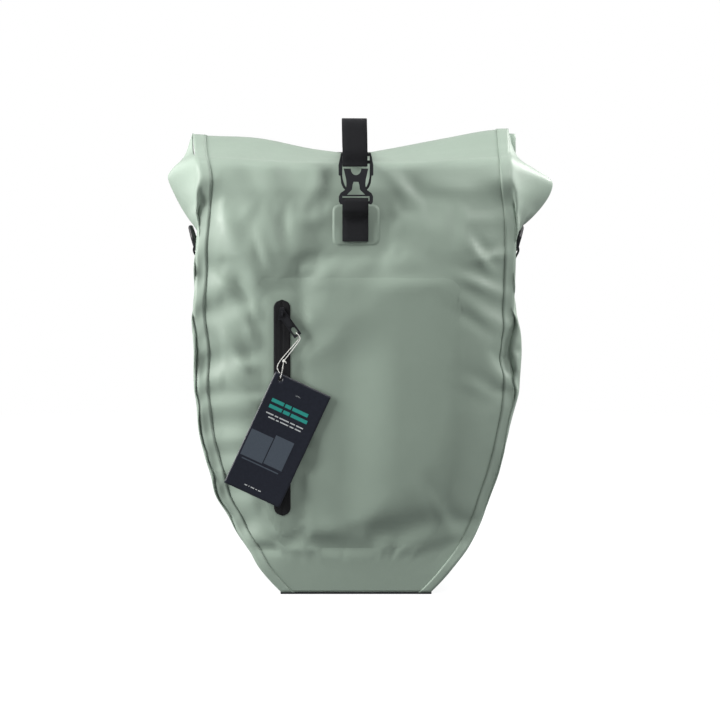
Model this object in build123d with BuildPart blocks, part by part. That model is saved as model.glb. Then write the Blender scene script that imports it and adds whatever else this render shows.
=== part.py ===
"""Roll-top bicycle pannier bag with two rack hooks, a support arm and a zipped front pocket.

Frame: millimetres, +Z up. The origin is on the axis of the rack tube that the hooks hold,
midway between them. +Y points to the bicycle, -Y to the pocket side, +X to the right
of someone who looks at the pocket. "right" parts are on +X and "left" parts on -X.
"""

import os
from math import cos, pi, radians, sin

from build123d import *

os.makedirs("parts", exist_ok=True)

# ---------------------------------------------------------------- driving dimensions
BAG_WIDTH = 320.0
BAG_DEPTH = 165.0
BAG_DROP = 364.0  # rack tube axis down to the bag's bottom
BASE_WIDTH = 150.0  # flat width of the bottom
TAPER_HEIGHT = 200.0  # height over which the sides narrow to the base
FABRIC = 1.2
SEAM_LAP = 10.0  # how far the gusset laps onto the front and back panels
CREST_Z = 64.0  # top of the fabric under the roll
EAR_Z = 44.0  # height where the side folds stick out most
EAR_REACH = 36.0

TUBE_R = 8.0  # rack tube that the hooks are made for
BACK_Y = -20.0  # outer face of the back panel
FRONT_Y = BACK_Y - BAG_DEPTH
BOTTOM_Z = -BAG_DROP
SIDE_X = BAG_WIDTH / 2
MID_Y = (BACK_Y + FRONT_Y) / 2

RAIL_T = 8.0
RAIL_FACE_Y = BACK_Y + RAIL_T
GAP = 0.15  # running gap between parts that slide or turn

UPPER_RAIL = {"length": 276.0, "height": 27.5, "z": -46.5}
UPPER_RAIL_TOP = UPPER_RAIL["z"] + UPPER_RAIL["height"] / 2
UPPER_RAIL_BOTTOM = UPPER_RAIL["z"] - UPPER_RAIL["height"] / 2
UPPER_SCREWS_X = (-125.0, -42.0, 42.0, 125.0)
NOTCH_PITCH = 6.0
NOTCH_COUNT = 12
NOTCH_START_X = 50.0

LOWER_RAIL = {"length": 203.0, "height": 28.0, "z": -242.0}
LOWER_SCREWS_X = (-87.0, 87.0)
LOWER_SLOT_LENGTH = 150.0
LOWER_SLOT_HEIGHT = 7.2

SCREW_R = 2.4
SCREW_HOLE_R = 2.6
SCREW_HEAD_R = 4.4
SCREW_HEAD_T = 2.4

HOOK_X = 82.0
HOOK_WIDTH = 27.0
HOOK_TOP_Z = 12.5
FINGER_FACE_Y = 16.5
FINGER_TIP_Z = -39.6
WINDOW_HALF = 7.5
PIN_Y, PIN_Z, PIN_R = 12.5, 5.0, 1.5

STRAP_W = 25.0
STRAP_T = 1.4

GRIP_LENGTH = 100.0
GRIP_Y = 22.6
GRIP_Z = -20.0
GRIP_H = 14.5
GRIP_D = 11.0
PULL_W = 12.0  # pull strap webbing
PULL_T = 1.2
FOLD_Y, FOLD_Z = 19.5, 24.0  # line where the pull straps fold over the hooks

HANDLE_X = 29.0
HANDLE_TOP_Z = 75.0
HANDLE_BASE_Y = -16.5

ARM_X = 21.0  # pivot of the support arm along the lower rail
ARM_REACH = 65.0
KNOB_R = 13.0

ZIP_X = -74.0
ZIP_TOP_Z, ZIP_BOTTOM_Z = -73.0, -285.0
ZIP_W = 13.0
POCKET_T = 3.0
POCKET_FACE_Y = FRONT_Y - POCKET_T

BUCKLE_Y = FRONT_Y - 7.4  # mid-plane of the buckle
BUCKLE_T = 8.0

GUARD_RIVETS = ((-82.0, 37.5), (0.0, 26.0), (82.0, 37.5))  # x and height above the bottom


# ---------------------------------------------------------------- helpers
def y_plane(y):
    """Sketch plane facing -Y: sketch x is X, sketch y is Z. Extruding goes towards -Y."""
    return Plane.XZ.offset(-y)


def x_plane(x):
    """Sketch plane facing +X: sketch x is Y, sketch y is Z."""
    return Plane.YZ.offset(x)


def save(builder, name):
    """Labels a finished piece and writes its STEP file."""
    builder.part.label = name
    export_step(builder.part, f"parts/{name}.step")


def bag_outline(inset=0.0, top=CREST_Z + 60.0):
    """U-shaped panel outline, seen from the front, as a sketch to add to another one."""
    with BuildSketch() as shape:
        with BuildLine():
            Polyline((-SIDE_X, BOTTOM_Z + TAPER_HEIGHT), (-SIDE_X, top), (SIDE_X, top),
                     (SIDE_X, BOTTOM_Z + TAPER_HEIGHT))
            for side in (1, -1):
                ThreePointArc((side * BASE_WIDTH / 2, BOTTOM_Z), (side * 100, BOTTOM_Z + 28),
                              (side * 120, BOTTOM_Z + 60))
                ThreePointArc((side * 120, BOTTOM_Z + 60), (side * 146, BOTTOM_Z + 131),
                              (side * SIDE_X, BOTTOM_Z + TAPER_HEIGHT))
            Line((-BASE_WIDTH / 2, BOTTOM_Z), (BASE_WIDTH / 2, BOTTOM_Z))
        make_face()
        if inset:
            offset(amount=-inset, kind=Kind.INTERSECTION if inset > 0 else Kind.ARC,
                   mode=Mode.REPLACE)
    return shape.sketch


def hood_section(z, shrink=0.0):
    """Six-sided level of the fabric above the body: (half width, y) at back, side fold and front."""
    levels = {
        0.0: ((SIDE_X, BACK_Y), (SIDE_X, MID_Y), (SIDE_X, FRONT_Y)),
        EAR_Z: ((SIDE_X, BACK_Y), (SIDE_X + EAR_REACH, MID_Y), (SIDE_X - 4, FRONT_Y + 14)),
        CREST_Z: ((SIDE_X, BACK_Y - 2), (SIDE_X + 8, BACK_Y - 30), (SIDE_X, BACK_Y - 66)),
    }
    back, side, front = levels[z]
    inner = ((back[0] - shrink, back[1] - shrink), (side[0] - 1.5 * shrink, side[1]),
             (front[0] - shrink, front[1] + shrink))
    right = [(x, y) for x, y in inner]
    return right + [(-x, y) for x, y in reversed(right)]


def fabric_solid(shrink=0.0):
    """The bag's closed envelope, moved inwards by shrink. Made outside any part."""
    with BuildPart() as body:
        with BuildSketch(y_plane(BACK_Y - shrink)):
            add(bag_outline(inset=shrink, top=shrink))
        extrude(amount=BAG_DEPTH - 2 * shrink)
        for low, high, lift in ((0.0, EAR_Z, 0.0), (EAR_Z, CREST_Z, shrink)):
            with BuildSketch(Plane.XY.offset(low)):
                Polygon(*hood_section(low, shrink), align=None)
            with BuildSketch(Plane.XY.offset(high - lift)):
                Polygon(*hood_section(high, shrink), align=None)
            loft(ruled=True)
    return body.part


# ---------------------------------------------------------------- fabric shell
MOUTH_LENGTH = 280.0
MOUTH_GAP = 4.0
ROLL_Y = BACK_Y - 34.0

with BuildPart() as mouth:
    with Locations((0, ROLL_Y, CREST_Z)):
        Box(MOUTH_LENGTH, MOUTH_GAP, 12)

wall = fabric_solid() - fabric_solid(FABRIC) - mouth.part

with BuildPart() as front_panel:
    with BuildSketch(y_plane(MID_Y)):
        add(bag_outline(inset=SEAM_LAP))
    extrude(amount=BAG_DEPTH)
    add(wall, mode=Mode.INTERSECT)
save(front_panel, "front_panel")

with BuildPart() as back_panel:
    with BuildSketch(y_plane(MID_Y)):
        add(bag_outline(inset=SEAM_LAP))
    extrude(amount=-BAG_DEPTH)
    add(wall, mode=Mode.INTERSECT)
    with BuildSketch(y_plane(BACK_Y)):
        with Locations(*[(x, UPPER_RAIL["z"]) for x in UPPER_SCREWS_X],
                       *[(x, LOWER_RAIL["z"]) for x in LOWER_SCREWS_X]):
            Circle(SCREW_HOLE_R)
        with Locations(*[(x, BOTTOM_Z + z) for x, z in GUARD_RIVETS]):
            Circle(1.8)
    extrude(amount=2 * FABRIC, both=True, mode=Mode.SUBTRACT)
save(back_panel, "back_panel")

with BuildPart() as gusset:
    add(wall)
    with BuildSketch(y_plane(BACK_Y + 10)):
        add(bag_outline(inset=SEAM_LAP))
    extrude(amount=BAG_DEPTH + 20, mode=Mode.SUBTRACT)
save(gusset, "gusset")


# ---------------------------------------------------------------- rolled closure
def roll_level(x):
    """Height, depth and centre height of the roll at a distance along it: thick ends, pinched middle."""
    swell = (1 - cos(pi * x / SIDE_X)) / 2
    height = 21 + 16 * swell
    return height, 26 + 8 * swell, CREST_Z + 0.6 + height / 2


ROLL_HALF = 167.0

with BuildPart() as rolled_top:
    for x in (-ROLL_HALF, -ROLL_HALF / 2, 0, ROLL_HALF / 2, ROLL_HALF):
        height, depth, centre = roll_level(x)
        with BuildSketch(x_plane(x)):
            with Locations((ROLL_Y, centre)):
                Ellipse(depth / 2, height / 2)
    loft()
    with BuildSketch(x_plane(0)):
        with Locations((ROLL_Y, CREST_Z + 11)):
            Rectangle(2.0, 12.4)
    extrude(amount=150.4, both=True, mode=Mode.SUBTRACT)
save(rolled_top, "rolled_top")

with BuildPart() as roll_stiffener:
    with BuildSketch(x_plane(0)):
        with Locations((ROLL_Y, CREST_Z + 11)):
            Rectangle(1.6, 12.0)
    extrude(amount=150, both=True)
save(roll_stiffener, "roll_stiffener")

# ---------------------------------------------------------------- back board, screws and nuts
BOARD_T = 2.4
BOARD_Y = BACK_Y - FABRIC - 0.1  # face of the board towards the back panel

with BuildPart() as back_board:
    with BuildSketch(y_plane(BOARD_Y)):
        with Locations((0, -140)):
            RectangleRounded(262, 236, 20)
        with Locations(*[(x, UPPER_RAIL["z"]) for x in UPPER_SCREWS_X],
                       *[(x, LOWER_RAIL["z"]) for x in LOWER_SCREWS_X]):
            Circle(SCREW_HOLE_R, mode=Mode.SUBTRACT)
    extrude(amount=BOARD_T)
save(back_board, "back_board")

SCREW_SPOTS = [(x, UPPER_RAIL["z"]) for x in UPPER_SCREWS_X]
SCREW_SPOTS += [(x, LOWER_RAIL["z"]) for x in LOWER_SCREWS_X]
HEAD_SEAT_Y = BACK_Y + 3.6
SCREW_END_Y = BOARD_Y - BOARD_T - 5.2

with BuildPart() as rail_screws:
    with BuildSketch(y_plane(HEAD_SEAT_Y)):
        with Locations(*SCREW_SPOTS):
            Circle(SCREW_R)
    extrude(amount=HEAD_SEAT_Y - SCREW_END_Y)
    with BuildSketch(y_plane(HEAD_SEAT_Y + SCREW_HEAD_T)):
        with Locations(*SCREW_SPOTS):
            Circle(SCREW_HEAD_R)
    heads = extrude(amount=SCREW_HEAD_T)
    rims = rail_screws.edges().filter_by(GeomType.CIRCLE).group_by(Axis.Y)[-1]
    fillet(rims, 1.3)
    with BuildSketch(y_plane(HEAD_SEAT_Y + SCREW_HEAD_T)):
        with Locations(*SCREW_SPOTS):
            RegularPolygon(1.6, 6)
    extrude(amount=1.6, mode=Mode.SUBTRACT)
save(rail_screws, "rail_screws")

with BuildPart() as rail_nuts:
    with BuildSketch(y_plane(BOARD_Y - BOARD_T - 0.1)):
        with Locations(*SCREW_SPOTS):
            Circle(6.5)
            Circle(SCREW_R + 0.05, mode=Mode.SUBTRACT)
    extrude(amount=1.0)
    with BuildSketch(y_plane(BOARD_Y - BOARD_T - 1.1)):
        with Locations(*SCREW_SPOTS):
            RegularPolygon(4.6, 6)
            Circle(SCREW_R + 0.05, mode=Mode.SUBTRACT)
    extrude(amount=3.8)
save(rail_nuts, "rail_nuts")

# ---------------------------------------------------------------- upper rail
RIM = 3.2  # width of the raised border
FLOOR_DEPTH = 1.6
STRAP_SLOT_Z = UPPER_RAIL_TOP - 5.2

with BuildPart() as upper_rail:
    with BuildSketch(y_plane(RAIL_FACE_Y)):
        with Locations((0, UPPER_RAIL["z"])):
            SlotOverall(UPPER_RAIL["length"], UPPER_RAIL["height"])
    extrude(amount=RAIL_T)
    fillet(upper_rail.faces().sort_by(Axis.Y)[-1].edges(), 1.6)
    with BuildSketch(y_plane(RAIL_FACE_Y)):
        for side in (1, -1):
            with Locations((side * 83.5, UPPER_RAIL["z"])):
                RectangleRounded(69, UPPER_RAIL["height"] - 2 * RIM, 2)
    extrude(amount=FLOOR_DEPTH, mode=Mode.SUBTRACT)
    with BuildSketch(y_plane(RAIL_FACE_Y - FLOOR_DEPTH)):
        for side in (1, -1):
            first = side * NOTCH_START_X
            with Locations(*[(first + side * i * NOTCH_PITCH, UPPER_RAIL["z"] - 4.5)
                             for i in range(NOTCH_COUNT)]):
                Rectangle(4.0, 7.0)
    extrude(amount=4.0, mode=Mode.SUBTRACT)
    with BuildSketch(y_plane(RAIL_FACE_Y - FLOOR_DEPTH)):
        for side in (1, -1):
            with Locations(*[(side * 83.5, UPPER_RAIL["z"] + 2.2 + 2.2 * i) for i in range(3)]):
                Rectangle(66, 0.8)
    extrude(amount=-0.7)
    with Locations(*[Plane(origin=(x, RAIL_FACE_Y, UPPER_RAIL["z"]), z_dir=(0, 1, 0))
                     for x in UPPER_SCREWS_X]):
        CounterBoreHole(SCREW_HOLE_R, SCREW_HEAD_R + 0.8, RAIL_FACE_Y - HEAD_SEAT_Y)
    with BuildSketch(y_plane(RAIL_FACE_Y)):
        with Locations((0, STRAP_SLOT_Z)):
            Rectangle(STRAP_W + 3, 3.6)
    extrude(amount=RAIL_T, mode=Mode.SUBTRACT)
    with BuildSketch(y_plane(BACK_Y)):
        with Locations((0, UPPER_RAIL_TOP - 3)):
            Rectangle(STRAP_W + 3, 8.0)
        for side in (1, -1):
            with Locations((side * HANDLE_X, UPPER_RAIL["z"] + 3)):
                Rectangle(16.2, UPPER_RAIL["height"] - 4)
    extrude(amount=-2.4, mode=Mode.SUBTRACT)
save(upper_rail, "upper_rail")

# ---------------------------------------------------------------- lower rail
with BuildPart() as lower_rail:
    with BuildSketch(y_plane(RAIL_FACE_Y)):
        with Locations((0, LOWER_RAIL["z"])):
            SlotOverall(LOWER_RAIL["length"], LOWER_RAIL["height"])
    extrude(amount=RAIL_T)
    fillet(lower_rail.faces().sort_by(Axis.Y)[-1].edges(), 2.2)
    with BuildSketch(y_plane(RAIL_FACE_Y)):
        with Locations((0, LOWER_RAIL["z"])):
            SlotOverall(LOWER_RAIL["length"] - 12, LOWER_RAIL["height"] - 13)
    extrude(amount=1.8, mode=Mode.SUBTRACT)
    with BuildSketch(y_plane(RAIL_FACE_Y)):
        with Locations((0, LOWER_RAIL["z"])):
            Rectangle(LOWER_SLOT_LENGTH, LOWER_SLOT_HEIGHT)
    extrude(amount=RAIL_T, mode=Mode.SUBTRACT)
    with BuildSketch(y_plane(BACK_Y)):
        with Locations((0, LOWER_RAIL["z"])):
            Rectangle(LOWER_SLOT_LENGTH + 4, 14.4)
    extrude(amount=-3.6, mode=Mode.SUBTRACT)
    with Locations(*[Plane(origin=(x, RAIL_FACE_Y, LOWER_RAIL["z"]), z_dir=(0, 1, 0))
                     for x in LOWER_SCREWS_X]):
        CounterBoreHole(SCREW_HOLE_R, SCREW_HEAD_R + 0.8, RAIL_FACE_Y - HEAD_SEAT_Y)
save(lower_rail, "lower_rail")


# ---------------------------------------------------------------- hooks, latches and clips
CLIP_HALF = 8.2
CLIP_TOP_Z = -43.5
CLIP_BOTTOM_Z = -69.5
BASE_BOTTOM_Z = UPPER_RAIL_BOTTOM - 2.2


def hook_profile():
    """Side profile of a hook: base plate on the rail, inner leg, crown and outer finger."""
    base_back = RAIL_FACE_Y + GAP
    leg_back = BACK_Y + 1.4
    with BuildSketch() as shape:
        with BuildLine():
            Polyline((-TUBE_R, 0), (-TUBE_R, BASE_BOTTOM_Z), (base_back, BASE_BOTTOM_Z),
                     (base_back, UPPER_RAIL_TOP + GAP), (leg_back, UPPER_RAIL_TOP + GAP),
                     (leg_back, 0))
            ThreePointArc((leg_back, 0), (-14.2, 8.4), (-5, HOOK_TOP_Z))
            Line((-5, HOOK_TOP_Z), (8, HOOK_TOP_Z))
            ThreePointArc((8, HOOK_TOP_Z), (14.2, 9.8), (FINGER_FACE_Y, 3.5))
            Polyline((FINGER_FACE_Y, 3.5), (FINGER_FACE_Y, -32), (14.2, FINGER_TIP_Z),
                     (11.4, FINGER_TIP_Z), (TUBE_R, -31), (TUBE_R, 0))
            ThreePointArc((TUBE_R, 0), (0, TUBE_R), (-TUBE_R, 0))
        make_face()
    return shape.sketch


def make_hook(x, name):
    """One rack hook, centred at x on the rail."""
    with BuildPart() as hook:
        with BuildSketch(x_plane(x)):
            add(hook_profile())
        extrude(amount=HOOK_WIDTH / 2, both=True)
        with BuildSketch(y_plane(FINGER_FACE_Y + 1)):
            with Locations((x, -26)):
                Rectangle(2 * WINDOW_HALF, 60, align=(Align.CENTER, Align.MIN))
        extrude(amount=FINGER_FACE_Y + 1 - TUBE_R + 1.0, mode=Mode.SUBTRACT)
        with BuildSketch(x_plane(x)):
            with Locations((PIN_Y, PIN_Z)):
                Circle(PIN_R + 0.05)
        extrude(amount=HOOK_WIDTH, both=True, mode=Mode.SUBTRACT)
        with BuildSketch(y_plane(RAIL_FACE_Y + 5)):
            with Locations((x, CLIP_TOP_Z)):
                Rectangle(2 * CLIP_HALF, 30, align=(Align.CENTER, Align.MAX))
        extrude(amount=6, mode=Mode.SUBTRACT)
        with BuildSketch(Plane.XY.offset(BASE_BOTTOM_Z)):
            with Locations((x, FINGER_FACE_Y - 40)):
                RectangleRounded(HOOK_WIDTH, 80, 2.4)
        extrude(amount=HOOK_TOP_Z - BASE_BOTTOM_Z, mode=Mode.INTERSECT)
        with BuildSketch(y_plane(FINGER_FACE_Y)):
            with Locations((x, -30.4)):
                Rectangle(HOOK_WIDTH - 6, 0.7)
        extrude(amount=0.6, mode=Mode.SUBTRACT)
    save(hook, name)


def make_clip(x, name):
    """Clip that holds a hook to the rail: a plate in the hook's base with a foot under the rail."""
    back = RAIL_FACE_Y + GAP + 0.2
    with BuildPart() as clip:
        with BuildSketch(x_plane(x)):
            Polygon(
                (-TUBE_R - 0.3, CLIP_TOP_Z - 0.3), (back, CLIP_TOP_Z - 0.3),
                (back, UPPER_RAIL_BOTTOM - 0.8), (BACK_Y + 2.5, UPPER_RAIL_BOTTOM - 0.8),
                (BACK_Y + 2.5, UPPER_RAIL_BOTTOM - 3.4), (back + 0.6, CLIP_BOTTOM_Z),
                (-TUBE_R - 0.3, CLIP_BOTTOM_Z),
                align=None,
            )
        extrude(amount=CLIP_HALF - 0.25, both=True)
        feet = clip.edges().filter_by(Axis.Y).group_by(Axis.Z)[0]
        chamfer(feet, 2.2)
        with BuildSketch(y_plane(-TUBE_R)):
            for side in (1, -1):
                with Locations((x + side * 4.2, CLIP_TOP_Z - 7.2)):
                    Rectangle(6.4, 1.6)
                with Locations((x + side * 5.4, CLIP_TOP_Z - 4.4)):
                    Rectangle(1.5, 5.2)
        extrude(amount=2.4, mode=Mode.SUBTRACT)
        with BuildSketch(y_plane(-TUBE_R - 0.3)):
            with Locations((x, CLIP_TOP_Z - 5)):
                Rectangle(0.9, 7)
            with Locations(*[(x, CLIP_BOTTOM_Z + 4 + 1.8 * i) for i in range(5)]):
                Rectangle(11, 0.7)
        extrude(amount=-0.25)
    save(clip, name)


def make_latch(x, name):
    """Latch lever on the pin: a wide head with an eye for the pull strap, and a nose under the tube."""
    with BuildPart() as latch:
        with BuildSketch(x_plane(x)):
            with BuildLine():
                Polyline((PIN_Y + 3.2, PIN_Z), (15.4, -2), (15.0, -23), (12.4, -24.5), (10.2, -22),
                         (9.4, -20), (2.6, -11.4), (2.6, -9.8), (9.2, -9.4), (9.4, PIN_Z))
                ThreePointArc((9.4, PIN_Z), (PIN_Y, PIN_Z + 3.2), (PIN_Y + 3.2, PIN_Z))
            make_face()
            with Locations((PIN_Y, PIN_Z)):
                Circle(PIN_R + 0.05, mode=Mode.SUBTRACT)
        extrude(amount=5.2, both=True)
        with BuildSketch(y_plane(FINGER_FACE_Y + 2)):
            for side in (1, -1):
                with Locations((x + side * 4.1, -6.5)):
                    Rectangle(3.2, 30, align=(Align.CENTER, Align.MAX))
        extrude(amount=FINGER_FACE_Y + 2 - 9.2, mode=Mode.SUBTRACT)
    save(latch, name)


def make_pin(x, name):
    """Steel pin through both cheeks of a hook and its latch."""
    with BuildPart() as pin:
        with BuildSketch(x_plane(x)):
            with Locations((PIN_Y, PIN_Z)):
                Circle(PIN_R)
        extrude(amount=HOOK_WIDTH / 2 + 0.4, both=True)
        chamfer(pin.edges().filter_by(GeomType.CIRCLE), 0.35)
    save(pin, name)


def make_spring(x, name):
    """Torsion spring around the pin, beside the latch."""
    wire_r, turns, pitch = 0.35, 1.6, 0.8
    start = x + 5.2 + 0.15 + wire_r
    with BuildPart() as spring:
        with BuildLine():
            coil = Helix(pitch, pitch * turns, PIN_R + 0.2 + wire_r, center=(start, PIN_Y, PIN_Z),
                         direction=(1, 0, 0))
        with BuildSketch(Plane(origin=coil @ 0, z_dir=coil % 0)):
            Circle(wire_r)
        sweep(path=coil, is_frenet=True)
    save(spring, name)


for tag, side in (("left", -1), ("right", 1)):
    make_hook(side * HOOK_X, f"hook_{tag}")
    make_clip(side * HOOK_X, f"hook_clip_{tag}")
    make_latch(side * HOOK_X, f"latch_{tag}")
    make_pin(side * HOOK_X, f"latch_pin_{tag}")
    make_spring(side * HOOK_X, f"latch_spring_{tag}")


# ---------------------------------------------------------------- release grip and pull straps
with BuildPart() as release_grip:
    with BuildSketch(x_plane(0)):
        with Locations((GRIP_Y, GRIP_Z)):
            RectangleRounded(GRIP_D, GRIP_H, 4.5)
            RectangleRounded(4.4, 12.8, 1.0, mode=Mode.SUBTRACT)
    extrude(amount=GRIP_LENGTH / 2, both=True)
    with BuildSketch(y_plane(GRIP_Y + GRIP_D)):
        for row in (1, -1):
            with Locations(*[(-40 + 10 * i + 2.5 * row, GRIP_Z + row * (GRIP_H / 2 - 0.2))
                             for i in range(9)]):
                Rectangle(2.6, 3.2)
    extrude(amount=2 * GRIP_D, mode=Mode.SUBTRACT)
save(release_grip, "release_grip")


def make_pull_strap(side, name):
    """Webbing from the fold over a hook down to the inside of the grip."""
    with BuildPart() as pull:
        with BuildSketch(y_plane(GRIP_Y + PULL_T / 2)):
            with BuildLine():
                path = FilletPolyline(
                    (side * HOOK_X, FOLD_Z - 3), (side * (HOOK_X - 3), 8),
                    (side * (GRIP_LENGTH / 2 + 17), GRIP_Z), (side * 20, GRIP_Z), radius=7)
            trace(path, line_width=PULL_W)
        extrude(amount=PULL_T)
        with BuildSketch(x_plane(side * HOOK_X)):
            with BuildLine():
                over = FilletPolyline((GRIP_Y, FOLD_Z - 4), (GRIP_Y, FOLD_Z + 1.6),
                                      (FOLD_Y, FOLD_Z + 1.6), radius=2.0)
            trace(over, line_width=PULL_T)
        extrude(amount=PULL_W / 2, both=True)
    save(pull, name)


def make_latch_strap(side, name):
    """Short webbing that comes up out of a hook's slot to the fold."""
    with BuildPart() as stub:
        with BuildSketch(x_plane(side * HOOK_X)):
            with BuildLine():
                rise = Polyline((PIN_Y + 1.5, PIN_Z + 4.6), (FOLD_Y - 3.4, FOLD_Z - 4.5))
            trace(rise, line_width=PULL_T)
        extrude(amount=PULL_W / 2, both=True)
    save(stub, name)


for tag, side in (("left", -1), ("right", 1)):
    make_pull_strap(side, f"pull_strap_{tag}")
    make_latch_strap(side, f"latch_strap_{tag}")

# ---------------------------------------------------------------- carry handle
HANDLE_LEAN = 8.0
HANDLE_T = 4.4
HANDLE_BASE_Z = UPPER_RAIL_TOP + HANDLE_T / 2 + 0.25  # pivot of the handle's rounded feet
HANDLE_STEPS = 24
TWIST_START, TWIST_END = 0.18, 0.42  # where the band turns, as a share of its length
handle_frame = Plane(origin=(0, HANDLE_BASE_Y, HANDLE_BASE_Z), x_dir=(1, 0, 0),
                     z_dir=(0, -cos(radians(HANDLE_LEAN)), sin(radians(HANDLE_LEAN))))
handle_rise = HANDLE_TOP_Z - HANDLE_BASE_Z

with BuildPart() as carry_handle:
    with BuildLine(handle_frame, mode=Mode.PRIVATE) as arch:
        Spline((-HANDLE_X, 0), (-29.4, 0.1 * handle_rise), (-31, 0.46 * handle_rise),
               (-23, 0.82 * handle_rise), (0, 0.98 * handle_rise), (23, 0.82 * handle_rise),
               (31, 0.46 * handle_rise), (29.4, 0.1 * handle_rise), (HANDLE_X, 0))
    band = arch.line
    for i in range(HANDLE_STEPS + 1):
        turn = i / HANDLE_STEPS
        along = (min(turn, 1 - turn) - TWIST_START) / (TWIST_END - TWIST_START)
        twist = 90 * max(0, min(1, along)) ** 1.2
        section = Plane(origin=band @ turn, x_dir=handle_frame.z_dir, z_dir=band % turn)
        with BuildSketch(section):
            RectangleRounded(HANDLE_T, 14.0, 1.6, rotation=twist)
    loft(ruled=True)
    for side in (1, -1):
        with BuildSketch(x_plane(side * HANDLE_X)):
            with Locations((HANDLE_BASE_Y, HANDLE_BASE_Z)):
                Circle(HANDLE_T / 2)
        extrude(amount=7.0, both=True)
save(carry_handle, "carry_handle")

with BuildPart() as handle_ends:
    with BuildSketch(y_plane(BACK_Y + 2.1)):
        for side in (1, -1):
            with Locations((side * HANDLE_X, UPPER_RAIL_TOP - 0.4)):
                Rectangle(14.5, 20, align=(Align.CENTER, Align.MAX))
    extrude(amount=2.0)
save(handle_ends, "handle_ends")

# ---------------------------------------------------------------- support arm on the lower rail
ARM_Z = LOWER_RAIL["z"]
HUB_R = 12.0
HUB_T = 5.6
HUB_BACK_Y = RAIL_FACE_Y + GAP
KNOB_BACK_Y = HUB_BACK_Y + HUB_T + GAP
KNOB_T = 8.5
BOLT_R = 2.5
ARM_OUT_Y = 5.6  # outer face of the arm
ARM_T = 4.6

with BuildPart() as clamp_nut:
    with BuildSketch(y_plane(BACK_Y + 3.4)):
        with Locations((ARM_X, ARM_Z)):
            Rectangle(15, 14.0)
    extrude(amount=3.2)
    with BuildSketch(y_plane(RAIL_FACE_Y - 2.2)):
        with Locations((ARM_X, ARM_Z)):
            Rectangle(11, LOWER_SLOT_HEIGHT - 0.4)
    extrude(amount=RAIL_FACE_Y - 2.2 - BACK_Y - 3.4)
    with BuildSketch(y_plane(RAIL_FACE_Y)):
        with Locations((ARM_X, ARM_Z)):
            Circle(BOLT_R + 0.05)
    extrude(amount=RAIL_T, mode=Mode.SUBTRACT)
save(clamp_nut, "clamp_nut")

with BuildPart() as support_arm:
    with BuildSketch(Plane.XY.offset(ARM_Z)):
        with BuildLine():
            Polyline((ARM_X - 6, HUB_BACK_Y + 0.6), (ARM_X - 13, HUB_BACK_Y + 0.6),
                     (ARM_X - 21, ARM_OUT_Y - ARM_T - 1.5), (ARM_X - 27, ARM_OUT_Y - ARM_T),
                     (ARM_X - ARM_REACH + 6, ARM_OUT_Y - ARM_T),
                     (ARM_X - ARM_REACH + 2, ARM_OUT_Y - ARM_T - 2.4))
            ThreePointArc((ARM_X - ARM_REACH + 2, ARM_OUT_Y - ARM_T - 2.4),
                          (ARM_X - ARM_REACH - 1.2, ARM_OUT_Y - ARM_T),
                          (ARM_X - ARM_REACH, ARM_OUT_Y - 1.5))
            Polyline((ARM_X - ARM_REACH, ARM_OUT_Y - 1.5), (ARM_X - ARM_REACH + 3, ARM_OUT_Y),
                     (ARM_X - 25, ARM_OUT_Y), (ARM_X - 15.5, ARM_OUT_Y - 4),
                     (ARM_X - 15.5, HUB_BACK_Y + HUB_T), (ARM_X - 6, HUB_BACK_Y + HUB_T),
                     (ARM_X - 6, HUB_BACK_Y + 0.6))
        make_face()
    extrude(amount=7.2, both=True)
    ridges = support_arm.edges().filter_by(Axis.X).group_by(Axis.Y)[-1]
    fillet(ridges, 1.6)
    with BuildSketch(y_plane(HUB_BACK_Y + HUB_T)):
        with Locations((ARM_X, ARM_Z)):
            Circle(HUB_R)
    extrude(amount=HUB_T)
    with BuildSketch(y_plane(HUB_BACK_Y + HUB_T)):
        with Locations((ARM_X, ARM_Z)):
            with PolarLocations(HUB_R, 28):
                Circle(0.55)
            Circle(BOLT_R + 0.1)
    extrude(amount=HUB_T, mode=Mode.SUBTRACT)
    with BuildSketch(y_plane(ARM_OUT_Y)):
        with Locations((ARM_X - 38, ARM_Z)):
            SlotOverall(44, 4.6)
        with Locations((ARM_X - ARM_REACH + 8.5, ARM_Z)):
            Circle(7.2)
    extrude(amount=1.6, mode=Mode.SUBTRACT)
save(support_arm, "support_arm")

with BuildPart() as arm_insert:
    with BuildSketch(y_plane(ARM_OUT_Y + 0.5)):
        with Locations((ARM_X - 38, ARM_Z)):
            SlotOverall(43.4, 4.0)
        with Locations((ARM_X - ARM_REACH + 8.5, ARM_Z)):
            Circle(6.9)
    extrude(amount=2.0)
    with BuildSketch(y_plane(ARM_OUT_Y + 0.5)):
        with Locations(*[(ARM_X - ARM_REACH + 8.5 + 2.4 * (i - 1.5), ARM_Z) for i in range(4)]):
            SlotOverall(8.5, 1.1, rotation=90)
    extrude(amount=-0.5)
save(arm_insert, "arm_insert")

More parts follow.
